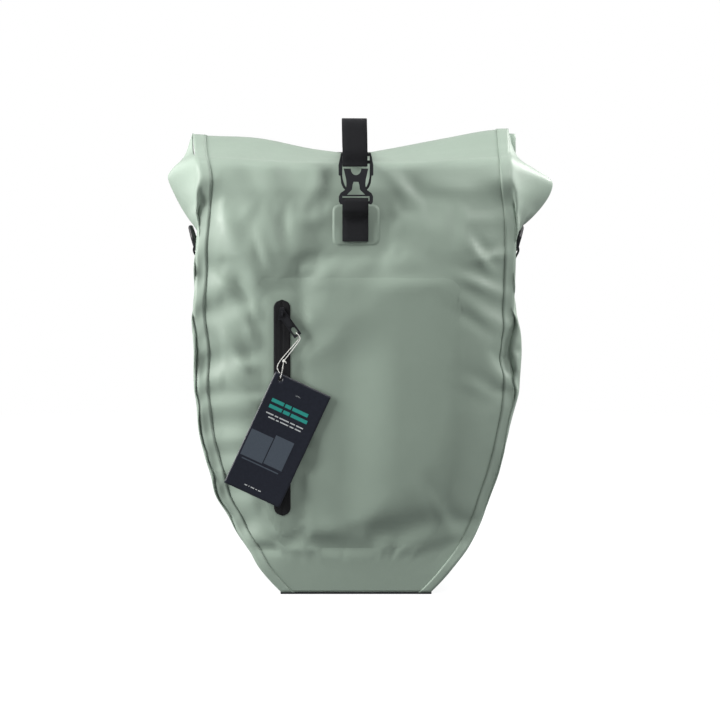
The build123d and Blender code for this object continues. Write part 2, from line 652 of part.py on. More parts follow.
with BuildPart() as clamp_knob:
    with BuildSketch(y_plane(KNOB_BACK_Y)):
        with Locations((ARM_X, ARM_Z)):
            Circle(KNOB_R)
    extrude(amount=-KNOB_T, taper=5)
    fillet(clamp_knob.faces().sort_by(Axis.Y)[-1].edges(), 1.2)
    with BuildSketch(y_plane(KNOB_BACK_Y)):
        with Locations((ARM_X, ARM_Z)):
            with PolarLocations(KNOB_R + 0.1, 36):
                Circle(0.6)
    extrude(amount=-(KNOB_T - 2.4), mode=Mode.SUBTRACT)
    with BuildSketch(y_plane(KNOB_BACK_Y + KNOB_T)):
        with Locations((ARM_X, ARM_Z)):
            Circle(8.8)
    extrude(amount=0.7, taper=20, mode=Mode.SUBTRACT)
    with BuildSketch(y_plane(KNOB_BACK_Y + KNOB_T)):
        with Locations((ARM_X, ARM_Z)):
            Circle(4.3)
    extrude(amount=4.6, mode=Mode.SUBTRACT)
    with BuildSketch(y_plane(KNOB_BACK_Y + KNOB_T)):
        with Locations((ARM_X, ARM_Z)):
            Circle(BOLT_R + 0.05)
    extrude(amount=KNOB_T, mode=Mode.SUBTRACT)
save(clamp_knob, "clamp_knob")

BOLT_SEAT_Y = KNOB_BACK_Y + KNOB_T - 4.5

with BuildPart() as clamp_bolt:
    with BuildSketch(y_plane(BOLT_SEAT_Y)):
        with Locations((ARM_X, ARM_Z)):
            Circle(BOLT_R)
    extrude(amount=BOLT_SEAT_Y - BACK_Y - 0.4)
    with BuildSketch(y_plane(BOLT_SEAT_Y + 4.2)):
        with Locations((ARM_X, ARM_Z)):
            Circle(4.1)
    extrude(amount=4.2)
    fillet(clamp_bolt.faces().sort_by(Axis.Y)[-1].edges(), 0.5)
    with BuildSketch(y_plane(BOLT_SEAT_Y + 4.2)):
        with Locations((ARM_X, ARM_Z)):
            RegularPolygon(2.3, 6)
    extrude(amount=2.4, mode=Mode.SUBTRACT)
save(clamp_bolt, "clamp_bolt")

# ---------------------------------------------------------------- base guard
GUARD_T = 2.5
GUARD_WRAP = 24.0  # height to which the guard wraps round the bottom
GUARD_SIDE_DEPTH = 52.0  # how far the wrap reaches forward on the slanted sides

with BuildPart() as base_guard:
    with BuildSketch(y_plane(BACK_Y + GUARD_T)):
        add(bag_outline(inset=-GUARD_T))
        with BuildLine():
            wave = Spline((-150, BOTTOM_Z + 36), (-98, BOTTOM_Z + 45), (-70, BOTTOM_Z + 49),
                          (0, BOTTOM_Z + 39), (70, BOTTOM_Z + 49), (98, BOTTOM_Z + 45),
                          (150, BOTTOM_Z + 36))
            Polyline(wave @ 1, (150, BOTTOM_Z - 20), (-150, BOTTOM_Z - 20), wave @ 0)
        make_face(mode=Mode.INTERSECT)
        for side in (1, -1):
            for i, hole_d in enumerate((6.5, 5.5, 4.6, 4.0, 3.2, 2.4)):
                hole_x = 14.0 + 13.4 * i - 0.28 * i * i
                with Locations((side * hole_x, BOTTOM_Z + 15.5 + 0.0078 * (hole_x - 42) ** 2)):
                    Circle(hole_d / 2, mode=Mode.SUBTRACT)
        with Locations(*[(x, BOTTOM_Z + z) for x, z in GUARD_RIVETS]):
            Circle(1.8, mode=Mode.SUBTRACT)
    extrude(amount=GUARD_T - 0.05)
    with BuildSketch(y_plane(BACK_Y + 0.05)):
        add(bag_outline(inset=-GUARD_T))
        add(bag_outline(inset=-0.1), mode=Mode.SUBTRACT)
        with Locations((0, BOTTOM_Z + GUARD_WRAP)):
            Rectangle(2 * SIDE_X + 20, 600, align=(Align.CENTER, Align.MIN), mode=Mode.SUBTRACT)
    extrude(amount=BAG_DEPTH + 0.05)
    with BuildSketch(Plane.XY.offset(BOTTOM_Z - 10)):
        for side in (1, -1):
            with BuildLine():
                Polyline((side * (BASE_WIDTH / 2 + 1), BACK_Y - GUARD_SIDE_DEPTH),
                         (side * SIDE_X, BACK_Y - GUARD_SIDE_DEPTH + 34), (side * SIDE_X, FRONT_Y - 10),
                         (side * (BASE_WIDTH / 2 + 1), FRONT_Y - 10),
                         (side * (BASE_WIDTH / 2 + 1), BACK_Y - GUARD_SIDE_DEPTH))
            make_face()
    extrude(amount=60, mode=Mode.SUBTRACT)
save(base_guard, "base_guard")

with BuildPart() as guard_rivets:
    spots = [(x, BOTTOM_Z + z) for x, z in GUARD_RIVETS]
    with BuildSketch(y_plane(BACK_Y + GUARD_T + 1.4)):
        with Locations(*spots):
            Circle(4.3)
    extrude(amount=1.35)
    fillet(guard_rivets.edges().filter_by(GeomType.CIRCLE).group_by(Axis.Y)[-1], 1.25)
    with BuildSketch(y_plane(BACK_Y + GUARD_T + 0.5)):
        with Locations(*spots):
            Circle(1.7)
    extrude(amount=GUARD_T + 0.5 + FABRIC + 0.9)
    with BuildSketch(y_plane(BACK_Y - FABRIC - 0.1)):
        with Locations(*spots):
            Circle(4.0)
    extrude(amount=0.8)
save(guard_rivets, "guard_rivets")


# ---------------------------------------------------------------- straps and buckle
def ribbon(points, radius, name, width=STRAP_W, thickness=STRAP_T):
    """Webbing whose centre line runs through (y, z) points in the plane x = 0."""
    with BuildPart() as strap:
        with BuildSketch(x_plane(0)):
            with BuildLine():
                path = FilletPolyline(*points, radius=radius)
            trace(path, line_width=thickness)
        extrude(amount=width / 2, both=True)
    save(strap, name)


RAIL_BAR_Z = STRAP_SLOT_Z
ROLL_TOP_Z = roll_level(0)[2] + roll_level(0)[0] / 2
SOCKET_BAR_Z = 27.0
PLUG_BAR_Z = 66.6
ANCHOR_END_Z = -12.5
TAIL_TOP_Z = 110.5

ribbon(
    [
        (RAIL_FACE_Y + 0.9, RAIL_BAR_Z - 0.4), (RAIL_FACE_Y + 0.9, UPPER_RAIL_TOP + 4),
        (BACK_Y + 0.9, UPPER_RAIL_TOP + 16), (BACK_Y + 0.9, CREST_Z + 2),
        (ROLL_Y + 19, CREST_Z + 8), (ROLL_Y + 12, ROLL_TOP_Z + 1.4),
        (ROLL_Y - 16, ROLL_TOP_Z + 1.4), (FRONT_Y + 10, EAR_Z + 32),
        (FRONT_Y - 0.9, EAR_Z + 24), (FRONT_Y - 0.9, EAR_Z + 14),
    ],
    2.5, "closure_strap")

ribbon(
    [
        (FRONT_Y - 1.8, ANCHOR_END_Z), (FRONT_Y - 1.8, SOCKET_BAR_Z - 6),
        (FRONT_Y - 3.4, SOCKET_BAR_Z + 3.6), (BUCKLE_Y - 3.4, SOCKET_BAR_Z + 3.6),
        (BUCKLE_Y - 3.4, SOCKET_BAR_Z - 5), (FRONT_Y - 3.3, SOCKET_BAR_Z - 12),
        (FRONT_Y - 3.3, ANCHOR_END_Z),
    ],
    1.0, "anchor_strap")

with BuildPart() as anchor_patch:
    with BuildSketch(y_plane(FRONT_Y - 0.05)):
        with Locations((0, 5)):
            RectangleRounded(46, 42, 6)
    extrude(amount=0.8)
save(anchor_patch, "anchor_patch")

ribbon(
    [
        (BUCKLE_Y + 4.3, PLUG_BAR_Z + 9.5), (BUCKLE_Y + 4.3, PLUG_BAR_Z + 1.5),
        (BUCKLE_Y + 3.0, PLUG_BAR_Z - 3.4), (BUCKLE_Y - 3.0, PLUG_BAR_Z - 3.4),
        (BUCKLE_Y - 3.0, PLUG_BAR_Z + 1.5), (BUCKLE_Y - 4.8, PLUG_BAR_Z + 8.0),
        (BUCKLE_Y + 1.0, TAIL_TOP_Z),
    ],
    1.2, "strap_tail")

SOCKET_TOP_Z = 60.5
THROAT_Z = 41.6  # narrowest level of the buckle
CAVITY_T = 4.6  # room for the plug's prongs between the socket's two plates
PRONG_T = 3.8

with BuildPart() as buckle_socket:
    with BuildSketch(y_plane(BUCKLE_Y + BUCKLE_T / 2)):
        with BuildLine():
            right = Polyline((15.4, 25), (16.9, 27.5), (17.0, 33), (15.4, 36.2), (11.2, 39.2),
                             (9.8, THROAT_Z), (9.4, 45), (9.8, 50), (11.0, 55), (12.2, SOCKET_TOP_Z))
            mirror(right, about=Plane.YZ)
            Line((15.4, 25), (-15.4, 25))
            Line((12.2, SOCKET_TOP_Z), (-12.2, SOCKET_TOP_Z))
        make_face()
        with Locations((0, SOCKET_BAR_Z + 2)):
            Rectangle(STRAP_W + 2, 8.2, mode=Mode.SUBTRACT)
        with BuildLine():
            Polyline((-9.0, 34.6), (9.0, 34.6), (4.0, 39.6), (3.4, 44), (2.4, 47.4), (-2.4, 47.4),
                     (-3.4, 44), (-4.0, 39.6), (-9.0, 34.6))
        make_face(mode=Mode.SUBTRACT)
        with Locations((0, SOCKET_TOP_Z)):
            Ellipse(5.2, 6.5, mode=Mode.SUBTRACT)
    extrude(amount=BUCKLE_T)
    with BuildSketch(y_plane(BUCKLE_Y + CAVITY_T / 2)):
        for side in (1, -1):
            with Locations((side * 10.1, THROAT_Z - 3.3)):
                Rectangle(9.0, 24, align=(Align.CENTER, Align.MIN))
    extrude(amount=CAVITY_T, mode=Mode.SUBTRACT)
    with BuildSketch(y_plane(BUCKLE_Y + 1.9)):
        with Locations((0, SOCKET_BAR_Z)):
            Rectangle(STRAP_W + 2.4, 2.6)
    extrude(amount=3.8)
save(buckle_socket, "buckle_socket")

FRAME_FOOT_Z = 53.6  # lower end of the plug's side legs, where the prongs begin

with BuildPart() as buckle_plug:
    with BuildSketch(y_plane(BUCKLE_Y + 3.4)):
        with BuildLine():
            Polyline((14.8, 76), (17.3, 64), (17.3, FRAME_FOOT_Z), (-17.3, FRAME_FOOT_Z), (-17.3, 64),
                     (-14.8, 76), (14.8, 76))
        make_face()
    extrude(amount=6.8)
    fillet(buckle_plug.edges().filter_by(Axis.Y), 1.0)
    with BuildSketch(y_plane(BUCKLE_Y + BUCKLE_T)):
        with Locations((0, PLUG_BAR_Z + 4.2)):
            Rectangle(STRAP_W + 2.2, 4.4)
        with Locations((0, PLUG_BAR_Z - 1.2)):
            Rectangle(STRAP_W + 2.2, 20, align=(Align.CENTER, Align.MAX))
    extrude(amount=2 * BUCKLE_T, mode=Mode.SUBTRACT)
    with BuildSketch(x_plane(0)):
        with Locations((BUCKLE_Y - 3.4, PLUG_BAR_Z + 0.4), (BUCKLE_Y + 3.4, PLUG_BAR_Z + 0.4)):
            Rectangle(2.8, 3.4)
    extrude(amount=STRAP_W / 2 + 1.1, both=True, mode=Mode.SUBTRACT)
    with BuildSketch(y_plane(BUCKLE_Y + PRONG_T / 2)):
        for side in (1, -1):
            with BuildLine():
                Polyline((side * 15.7, 55), (side * 15.3, 51), (side * 14.7, 46.1), (side * 13.0, 41.8),
                         (side * 10.8, 39.4), (side * 9.0, 40.6), (side * 10.9, 43.6), (side * 12.3, 47),
                         (side * 13.3, 51), (side * 13.8, 55), (side * 15.7, 55))
            make_face()
    extrude(amount=PRONG_T)
save(buckle_plug, "buckle_plug")

# ---------------------------------------------------------------- side rings
RING_Z = -20.0
RING_W = 30.0
RING_H = 28.0
RING_WIRE = 2.3
RING_LEAN = 16.0


def make_ring(side, name):
    """D-ring that stands on its straight bar and leans away from the bag."""
    base = Plane(origin=(side * (SIDE_X + 4.2), MID_Y, RING_Z), x_dir=(0, side, 0),
                 z_dir=(side * cos(radians(RING_LEAN)), 0, -sin(radians(RING_LEAN))))
    with BuildPart() as ring:
        with BuildLine(base):
            half = RING_W / 2 - RING_WIRE
            loop = FilletPolyline((-half, 0), (half, 0), (half, RING_H * 0.45), (half * 0.45, RING_H - 5),
                                  (-half * 0.45, RING_H - 5), (-half, RING_H * 0.45),
                                  radius=4.5, close=True)
        with BuildSketch(Plane(origin=loop @ 0, z_dir=loop % 0)):
            Circle(RING_WIRE)
        sweep(path=loop, transition=Transition.RIGHT)
    save(ring, name)


def make_ring_tab(side, name):
    """Webbing tab on the gusset, looped round a ring's bar."""
    out = SIDE_X + 4.2
    with BuildPart() as tab:
        with BuildSketch(Plane.XZ.offset(-MID_Y)):
            with BuildLine():
                path = FilletPolyline(
                    (side * (SIDE_X + 0.9), -54), (side * (SIDE_X + 0.9), RING_Z + 3.3),
                    (side * (out + 3.3), RING_Z + 3.3), (side * (out + 3.3), RING_Z - 4),
                    (side * (SIDE_X + 2.4), RING_Z - 13), (side * (SIDE_X + 2.4), -54),
                    radius=1.6)
            trace(path, line_width=STRAP_T)
        extrude(amount=8.0, both=True)
    save(tab, name)


for tag, side in (("left", -1), ("right", 1)):
    make_ring(side, f"side_ring_{tag}")
    make_ring_tab(side, f"ring_tab_{tag}")

# ---------------------------------------------------------------- front pocket and zip
POCKET_X = (-106.0, 106.0)
POCKET_Z = (-322.0, -46.0)
ZIP_MID_Z = (ZIP_TOP_Z + ZIP_BOTTOM_Z) / 2
ZIP_LENGTH = ZIP_TOP_Z - ZIP_BOTTOM_Z
ZIP_GAP = 1.2


def pocket_shape(inset):
    """Pocket outline, which narrows with the bag at the bottom."""
    left, right = POCKET_X[0] + inset, POCKET_X[1] - inset
    top, bottom = POCKET_Z[1] - inset, POCKET_Z[0] + inset
    with BuildSketch() as shape:
        with BuildLine():
            FilletPolyline((left, top), (right, top), (right, -250), (70 - inset, bottom),
                           (-70 + inset, bottom), (left, -250), radius=16, close=True)
        make_face()
    return shape.sketch


with BuildPart() as pocket_panel:
    with BuildSketch(y_plane(FRONT_Y - 0.05)):
        add(pocket_shape(0))
    extrude(amount=POCKET_T - 0.05)
    with BuildSketch(y_plane(FRONT_Y)):
        add(pocket_shape(8))
    extrude(amount=POCKET_T - 0.8, mode=Mode.SUBTRACT)
    with BuildSketch(y_plane(FRONT_Y)):
        with Locations((ZIP_X, ZIP_MID_Z)):
            SlotOverall(ZIP_LENGTH, ZIP_W, rotation=90)
    extrude(amount=2 * POCKET_T, mode=Mode.SUBTRACT)
save(pocket_panel, "pocket_panel")

with BuildPart() as zip_tape:
    with BuildSketch(y_plane(POCKET_FACE_Y + 0.9)):
        with Locations((ZIP_X, ZIP_MID_Z)):
            SlotOverall(ZIP_LENGTH - 0.2, ZIP_W - 0.2, rotation=90)
            Rectangle(ZIP_GAP, ZIP_LENGTH - 8, mode=Mode.SUBTRACT)
    extrude(amount=0.8)
save(zip_tape, "zip_tape")

with BuildPart() as zip_teeth:
    with BuildSketch(y_plane(POCKET_FACE_Y + 2.0)):
        for side in (1, -1):
            with Locations((ZIP_X + side * (ZIP_GAP / 2 + 0.7), ZIP_MID_Z)):
                Rectangle(1.4, ZIP_LENGTH - 12)
    extrude(amount=1.0)
save(zip_teeth, "zip_teeth")

SLIDER_Z = ZIP_TOP_Z - 11.0
SLIDER_Y = POCKET_FACE_Y - 0.1
PULLER_Y = SLIDER_Y - 2.6  # axis of the puller in the slider's bail

with BuildPart() as zip_slider:
    with BuildSketch(y_plane(SLIDER_Y)):
        with Locations((ZIP_X, SLIDER_Z)):
            Trapezoid(8.6, 13, 100, rotation=180)
    extrude(amount=1.6)
    fillet(zip_slider.edges().filter_by(Axis.Y), 1.4)
    with BuildSketch(x_plane(ZIP_X)):
        with Locations((PULLER_Y, SLIDER_Z)):
            Rectangle(3.8, 5.2)
            Rectangle(2.1, 3.2, mode=Mode.SUBTRACT)
    extrude(amount=0.8, both=True)
    with BuildSketch(y_plane(SLIDER_Y)):
        with Locations((ZIP_X, SLIDER_Z + 1)):
            Rectangle(ZIP_GAP - 0.4, 6)
    extrude(amount=-1.2)
save(zip_slider, "zip_slider")

PULLER_ANGLE = 36.0  # how far the puller lies from straight down, towards +X
PULLER_L = 28.0
BAR_HALF = 0.5  # half height of the puller's bar inside the bail
RIM_HALF = 1.15  # half height of the rim that the string hangs on
RIM_DOWN = PULLER_L - BAR_HALF - RIM_HALF


def puller_plane(y):
    """Plane of the resting puller: its origin is the bail, sketch y points up along the puller."""
    tilt = radians(PULLER_ANGLE)
    return Plane(origin=(ZIP_X, y, SLIDER_Z), x_dir=(cos(tilt), 0, sin(tilt)), z_dir=(0, -1, 0))


with BuildPart() as zip_puller:
    with BuildSketch(puller_plane(PULLER_Y + 0.65)):
        with Locations((0, BAR_HALF)):
            RectangleRounded(8.4, PULLER_L, 0.4, align=(Align.CENTER, Align.MAX))
        with Locations((0, -BAR_HALF)):
            Rectangle(4.9, 3.0, align=(Align.CENTER, Align.MAX), mode=Mode.SUBTRACT)
        with Locations((0, -RIM_DOWN + RIM_HALF + 4.0)):
            SlotOverall(8.0, 4.6, rotation=90, mode=Mode.SUBTRACT)
    extrude(amount=1.3)
    with BuildSketch(puller_plane(PULLER_Y - 0.65)):
        with Locations((0, -10.5)):
            RectangleRounded(5.6, 10, 2.0)
    extrude(amount=0.5)
save(zip_puller, "zip_puller")

# ---------------------------------------------------------------- hang tag on its string
TAG_W, TAG_H, TAG_T = 61.0, 123.0, 0.6
TAG_ANGLE = 25.0
TAG_Y = PULLER_Y - 0.2
HOLE_X, HOLE_Z = -75.5, -149.0


def tag_plane(y):
    """Plane of the hanging tag: its origin is the string hole, sketch y points up the tag."""
    tilt = radians(TAG_ANGLE)
    return Plane(origin=(HOLE_X, y, HOLE_Z), x_dir=(cos(tilt), 0, -sin(tilt)), z_dir=(0, -1, 0))


with BuildPart() as hang_tag:
    with BuildSketch(tag_plane(TAG_Y)):
        with Locations((TAG_W / 2 - 8, 5)):
            Rectangle(TAG_W, TAG_H, align=(Align.CENTER, Align.MAX))
        Circle(2.2, mode=Mode.SUBTRACT)
    extrude(amount=TAG_T)
save(hang_tag, "hang_tag")

STRING_R = 0.45
LOOP_HALF = 1.9  # how far the string's two legs stand in front of and behind the puller's rim
rim_x = ZIP_X + RIM_DOWN * sin(radians(PULLER_ANGLE))
rim_z = SLIDER_Z - RIM_DOWN * cos(radians(PULLER_ANGLE))
knot_z = (rim_z + HOLE_Z) / 2 - 4
tag_mid_y = TAG_Y - TAG_T / 2


def rim_point(across, up, y):
    """Point beside the puller's rim, measured across and up the puller."""
    tilt = radians(PULLER_ANGLE)
    return (rim_x + across * cos(tilt) - up * sin(tilt), PULLER_Y + y,
            rim_z + across * sin(tilt) + up * cos(tilt))


string_points = [
    (HOLE_X + 2.6, PULLER_Y - LOOP_HALF, knot_z), (HOLE_X + 0.2, tag_mid_y - 1.4, HOLE_Z + 3.0),
    (HOLE_X, tag_mid_y, HOLE_Z + 0.9), (HOLE_X - 0.2, tag_mid_y + 1.4, HOLE_Z + 3.0),
    (HOLE_X - 1.6, PULLER_Y + LOOP_HALF, knot_z), (rim_x - 0.2, PULLER_Y + LOOP_HALF, rim_z - 5),
    rim_point(0.5, 0, LOOP_HALF), rim_point(0.5, 1.6, 1.6), rim_point(0.5, 2.7, 0),
    rim_point(0.7, 1.6, -1.6), rim_point(0.9, 0, -LOOP_HALF),
    (rim_x + 1.6, PULLER_Y - LOOP_HALF, rim_z - 5),
    (HOLE_X + 2.6, PULLER_Y - LOOP_HALF, knot_z),
]

with BuildPart() as tag_string:
    for start, stop in zip(string_points, string_points[1:]):
        step = Vector(*stop) - Vector(*start)
        with BuildSketch(Plane(origin=start, z_dir=step)):
            Circle(STRING_R)
        extrude(amount=step.length)
        with Locations(stop):
            Sphere(STRING_R)
    with Locations(string_points[0]):
        Sphere(1.2)
save(tag_string, "tag_string")
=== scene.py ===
"""Looks for the roll-top pannier bag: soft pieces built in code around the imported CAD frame."""

import bmesh
import bpy
import numpy as np
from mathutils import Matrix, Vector


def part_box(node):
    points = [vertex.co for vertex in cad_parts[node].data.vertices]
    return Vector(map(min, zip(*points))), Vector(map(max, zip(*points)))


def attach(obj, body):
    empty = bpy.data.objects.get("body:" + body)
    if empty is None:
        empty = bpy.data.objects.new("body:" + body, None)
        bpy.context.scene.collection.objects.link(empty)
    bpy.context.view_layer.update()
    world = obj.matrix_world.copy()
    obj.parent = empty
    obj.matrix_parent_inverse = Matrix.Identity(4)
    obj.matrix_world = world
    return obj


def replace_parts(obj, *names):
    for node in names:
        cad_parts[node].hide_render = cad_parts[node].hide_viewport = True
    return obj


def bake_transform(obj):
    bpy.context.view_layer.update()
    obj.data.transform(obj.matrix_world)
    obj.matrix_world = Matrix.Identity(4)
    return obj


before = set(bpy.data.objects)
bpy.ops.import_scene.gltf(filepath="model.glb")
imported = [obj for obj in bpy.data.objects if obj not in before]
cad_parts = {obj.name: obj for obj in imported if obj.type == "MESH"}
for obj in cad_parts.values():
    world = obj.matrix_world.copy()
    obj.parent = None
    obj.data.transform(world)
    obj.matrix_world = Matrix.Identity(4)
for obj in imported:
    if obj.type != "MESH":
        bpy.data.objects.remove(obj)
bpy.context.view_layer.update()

# ---- dimensions, millimetres
MM = 0.001
SIDES = (("left", -1), ("right", 1))
X_AXIS = (1.0, 0.0, 0.0)
Y_AXIS = (0.0, 1.0, 0.0)


def corners(node):
    """Low and high corner of a CAD node's box."""
    return [np.round(np.array(corner) / MM, 2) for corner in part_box(node)]


def middle(node):
    return np.round(sum(corners(node)) / 2, 2)


(_, FRONT_Y, BOTTOM_Z), (_, BACK_Y, _) = corners("gusset")
MID_Y = (BACK_Y + FRONT_Y) / 2
ROLL_Y = middle("roll_stiffener")[1]
ZIP_X = middle("zip_tape")[0]
BUCKLE_Y = middle("buckle_plug")[1]
SIDE_X = 160.0  # half width of the body
LAP = 11.0  # the gusset's weld strip on the front and back panels
HOOD_Z = -20.0  # above this the sides fold out into ears
ZIP_Z0, ZIP_Z1 = -287.0, -70.0  # ends of the coated zip tape
INSIDE = (0, MID_Y, -150)  # a point well inside the bag


def row(x, y, z):
    """Points from x, y and z, each one value or many."""
    return np.stack(np.broadcast_arrays(x, y, z), axis=1)


def lerp(a, b, t):
    return a + (b - a) * t


def smooth(t):
    t = np.clip(t, 0.0, 1.0)
    return t * t * (3 - 2 * t)


def bell(t):
    return np.exp(-t ** 2)


def arc_x(z, p1, p2, p3):
    """x on the circle through three (x, z) points, on its outer side."""
    (x1, z1), (x2, z2), (x3, z3) = p1, p2, p3
    d = 2 * (x1 * (z2 - z3) + x2 * (z3 - z1) + x3 * (z1 - z2))
    s1, s2, s3 = x1 * x1 + z1 * z1, x2 * x2 + z2 * z2, x3 * x3 + z3 * z3
    cx = (s1 * (z2 - z3) + s2 * (z3 - z1) + s3 * (z1 - z2)) / d
    cz = (s1 * (x3 - x2) + s2 * (x1 - x3) + s3 * (x2 - x1)) / d
    r = np.hypot(x1 - cx, z1 - cz)
    return cx + np.sqrt(max(r * r - (z - cz) ** 2, 0.0))


def half_width(z):
    """Half width of the panels: two arcs from the bottom, then straight."""
    bottom, waist, straight = (75, 0), (120, 60), (SIDE_X, 200)
    h = z - BOTTOM_Z
    if h < waist[1]:
        return arc_x(h, bottom, (100, 28), waist)
    if h < straight[1]:
        return arc_x(h, waist, (146, 131), straight)
    return SIDE_X


def half_widths(z):
    """Half width at many heights. The hood counts as body."""
    return np.vectorize(half_width)(np.minimum(z, HOOD_Z))


# ---- materials
def srgb(r, g, b):
    c = np.array([r, g, b]) / 255.0
    return tuple(np.where(c <= 0.04045, c / 12.92, ((c + 0.055) / 1.055) ** 2.4)) + (1.0,)


def shade(colour, factor, lift=0.0):
    return tuple(min(c * factor + lift, 1.0) for c in colour[:3]) + (1.0,)


class Nodes:
    """Small helper around a material's node tree."""

    def __init__(self, name):
        self.mat = bpy.data.materials.new(name)
        self.mat.use_nodes = True
        self.tree = self.mat.node_tree
        self.geo = self.add("TexCoord", "Object")

    def feed(self, socket, value):
        """Links a node's output to an input, or sets the input's value."""
        if isinstance(value, bpy.types.NodeSocket):
            self.tree.links.new(value, socket)
        else:
            socket.default_value = value

    def add(self, kind, output, inputs=None, **props):
        """Adds a node and returns one of its outputs."""
        node = self.tree.nodes.new("ShaderNode" + kind)
        for key, value in props.items():
            setattr(node, key, value)
        for key, value in (inputs or {}).items():
            self.feed(node.inputs[key], value)
        return node.outputs[output]

    def noise(self, scale, detail=3.0, rough=0.5, distortion=0.0):
        inputs = {"Scale": scale, "Detail": detail, "Roughness": rough, "Distortion": distortion}
        return self.add("TexNoise", "Fac", {"Vector": self.geo, **inputs})

    def wave(self, vector, scale, distortion=0.0, **props):
        inputs = {"Vector": vector, "Scale": scale, "Distortion": distortion}
        return self.add("TexWave", "Fac", inputs, **props)

    def ramp(self, fac, *stops):
        """Colour along a factor, from two (position, colour) stops."""
        colour = self.add("ValToRGB", "Color", {"Fac": fac})
        for element, stop in zip(colour.node.color_ramp.elements, stops):
            element.position, element.color = stop
        return colour

    def tones(self, fac, base, dark, light, start=0.3, end=0.7):
        """The base colour from darker to lighter along a factor."""
        return self.ramp(fac, (start, shade(base, dark)), (end, shade(base, light)))

    def range(self, fac, low, high, from_low=0.0, from_high=1.0):
        limits = {"From Min": from_low, "From Max": from_high, "To Min": low, "To Max": high}
        return self.add("MapRange", "Result", {"Value": fac, **limits})

    def math(self, op, a, b):
        return self.add("Math", "Value", {0: a, 1: b}, operation=op)

    def mixed(self, fac, a, b):
        """Colours a and b mixed. 6, 7 and 2 are the mix node's colour sockets."""
        return self.add("Mix", 2, {0: fac, 6: a, 7: b}, data_type="RGBA")

    def bump(self, height, strength, distance, **under):
        inputs = {"Height": height, "Strength": strength, "Distance": distance, **under}
        return self.add("Bump", "Normal", inputs)

    def finish(self, colour, rough, normal, **more):
        surface = self.tree.nodes["Principled BSDF"]
        inputs = {"Base_Color": colour, "Roughness": rough, "Normal": normal, **more}
        for key, value in inputs.items():
            self.feed(surface.inputs[key.replace("_", " ")], value)
        return self.mat


def tarpaulin(name, base):
    """Coated cloth: faint mottling, a satin coat and the fine grain of the weave."""
    n = Nodes(name)
    colour = n.tones(n.noise(9.0, 4.0, 0.55), base, 0.93, 1.04)
    rough = n.range(n.noise(60.0, 5.0, 0.7, 0.8), 0.40, 0.56, 0.3, 0.7)
    grain = n.bump(n.noise(900.0, 2.0, 0.6), 0.25, 0.00018)
    skin = n.bump(n.noise(38.0), 0.22, 0.0014, Normal=grain)
    return n.finish(colour, rough, skin, Specular_IOR_Level=0.42, Coat_Weight=0.06, Coat_Roughness=0.35,
                    Sheen_Weight=0.05)


def webbing(name, base, fuzz=850.0):
    """Woven strap: ribs across and along the UVs, with fine fuzz over them."""
    n = Nodes(name)
    uv = n.add("TexCoord", "UV")
    weave = n.math("MULTIPLY", n.wave(uv, 0.55, bands_direction="Y"), n.wave(uv, 0.36, bands_direction="X"))
    relief = n.math("ADD", n.math("MULTIPLY", weave, 0.6), n.math("MULTIPLY", n.noise(fuzz, 3.0, 0.7), 0.5))
    colour = n.tones(relief, base, 0.55, 1.55, 0.15, 0.85)
    return n.finish(colour, 0.78, n.bump(relief, 0.55, 0.0005), Sheen_Weight=0.12, Sheen_Roughness=0.5,
                    Specular_IOR_Level=0.2)


def plastic(name, base, rough=0.46, grain=1400.0, strength=0.3):
    """Moulded nylon: fine spark-eroded grain, faint flow marks and paler rubbed edges."""
    n = Nodes(name)
    flow = n.noise(45.0, 4.0, 0.6, 0.6)
    body = n.tones(flow, base, 0.85, 1.2, 0.3, 0.75)
    worn = n.range(n.add("NewGeometry", "Pointiness"), 0.0, 0.5, 0.53, 0.60)
    colour = n.mixed(worn, body, shade(base, 2.2, 0.012))
    gloss = n.range(flow, rough - 0.05, rough + 0.08, 0.3, 0.7)
    normal = n.bump(n.noise(grain, 2.0, 0.6), strength, 0.00012)
    return n.finish(colour, gloss, normal, Specular_IOR_Level=0.42)


def rubber(name, base):
    """Moulded rubber with a dull skin and a dusty bloom."""
    n = Nodes(name)
    bloom = n.noise(70.0, 5.0, 0.65)
    colour = n.tones(bloom, base, 0.8, 1.35, 0.3, 0.75)
    normal = n.bump(n.noise(1100.0, 2.0, 0.6), 0.35, 0.00012)
    return n.finish(colour, n.range(bloom, 0.5, 0.68, 0.3, 0.7), normal, Specular_IOR_Level=0.4)


def steel(name, base):
    """Zinc-plated steel with fine turning marks."""
    n = Nodes(name)
    marks = n.wave(n.geo, 700.0, 2.0, wave_type="RINGS")
    stain = n.noise(240.0, 3.0, 0.6)
    colour = n.tones(stain, base, 0.8, 1.1)
    return n.finish(colour, n.range(stain, 0.22, 0.4, 0.3, 0.7), n.bump(marks, 0.12, 0.00008), Metallic=1.0)


def card(name):
    """Coated navy card."""
    n = Nodes(name)
    fibre = n.noise(420.0, 4.0, 0.7)
    colour = n.ramp(fibre, (0.3, srgb(29, 33, 44)), (0.75, srgb(38, 42, 54)))
    return n.finish(colour, 0.38, n.bump(fibre, 0.15, 0.00006), Specular_IOR_Level=0.4)


def ink(name, base):
    """Flat print on card, a little uneven."""
    n = Nodes(name)
    colour = n.tones(n.noise(500.0, 3.0, 0.6), base, 0.9, 1.0)
    return n.finish(colour, 0.45, n.bump(n.noise(900.0), 0.1, 0.00004))


def cotton(name):
    """Twisted white cotton cord."""
    n = Nodes(name)
    twist = n.wave(n.geo, 420.0, 1.5, bands_direction="DIAGONAL")
    colour = n.ramp(twist, (0.2, srgb(205, 205, 200)), (0.8, srgb(245, 245, 242)))
    return n.finish(colour, 0.85, n.bump(twist, 0.4, 0.0002), Sheen_Weight=0.2)


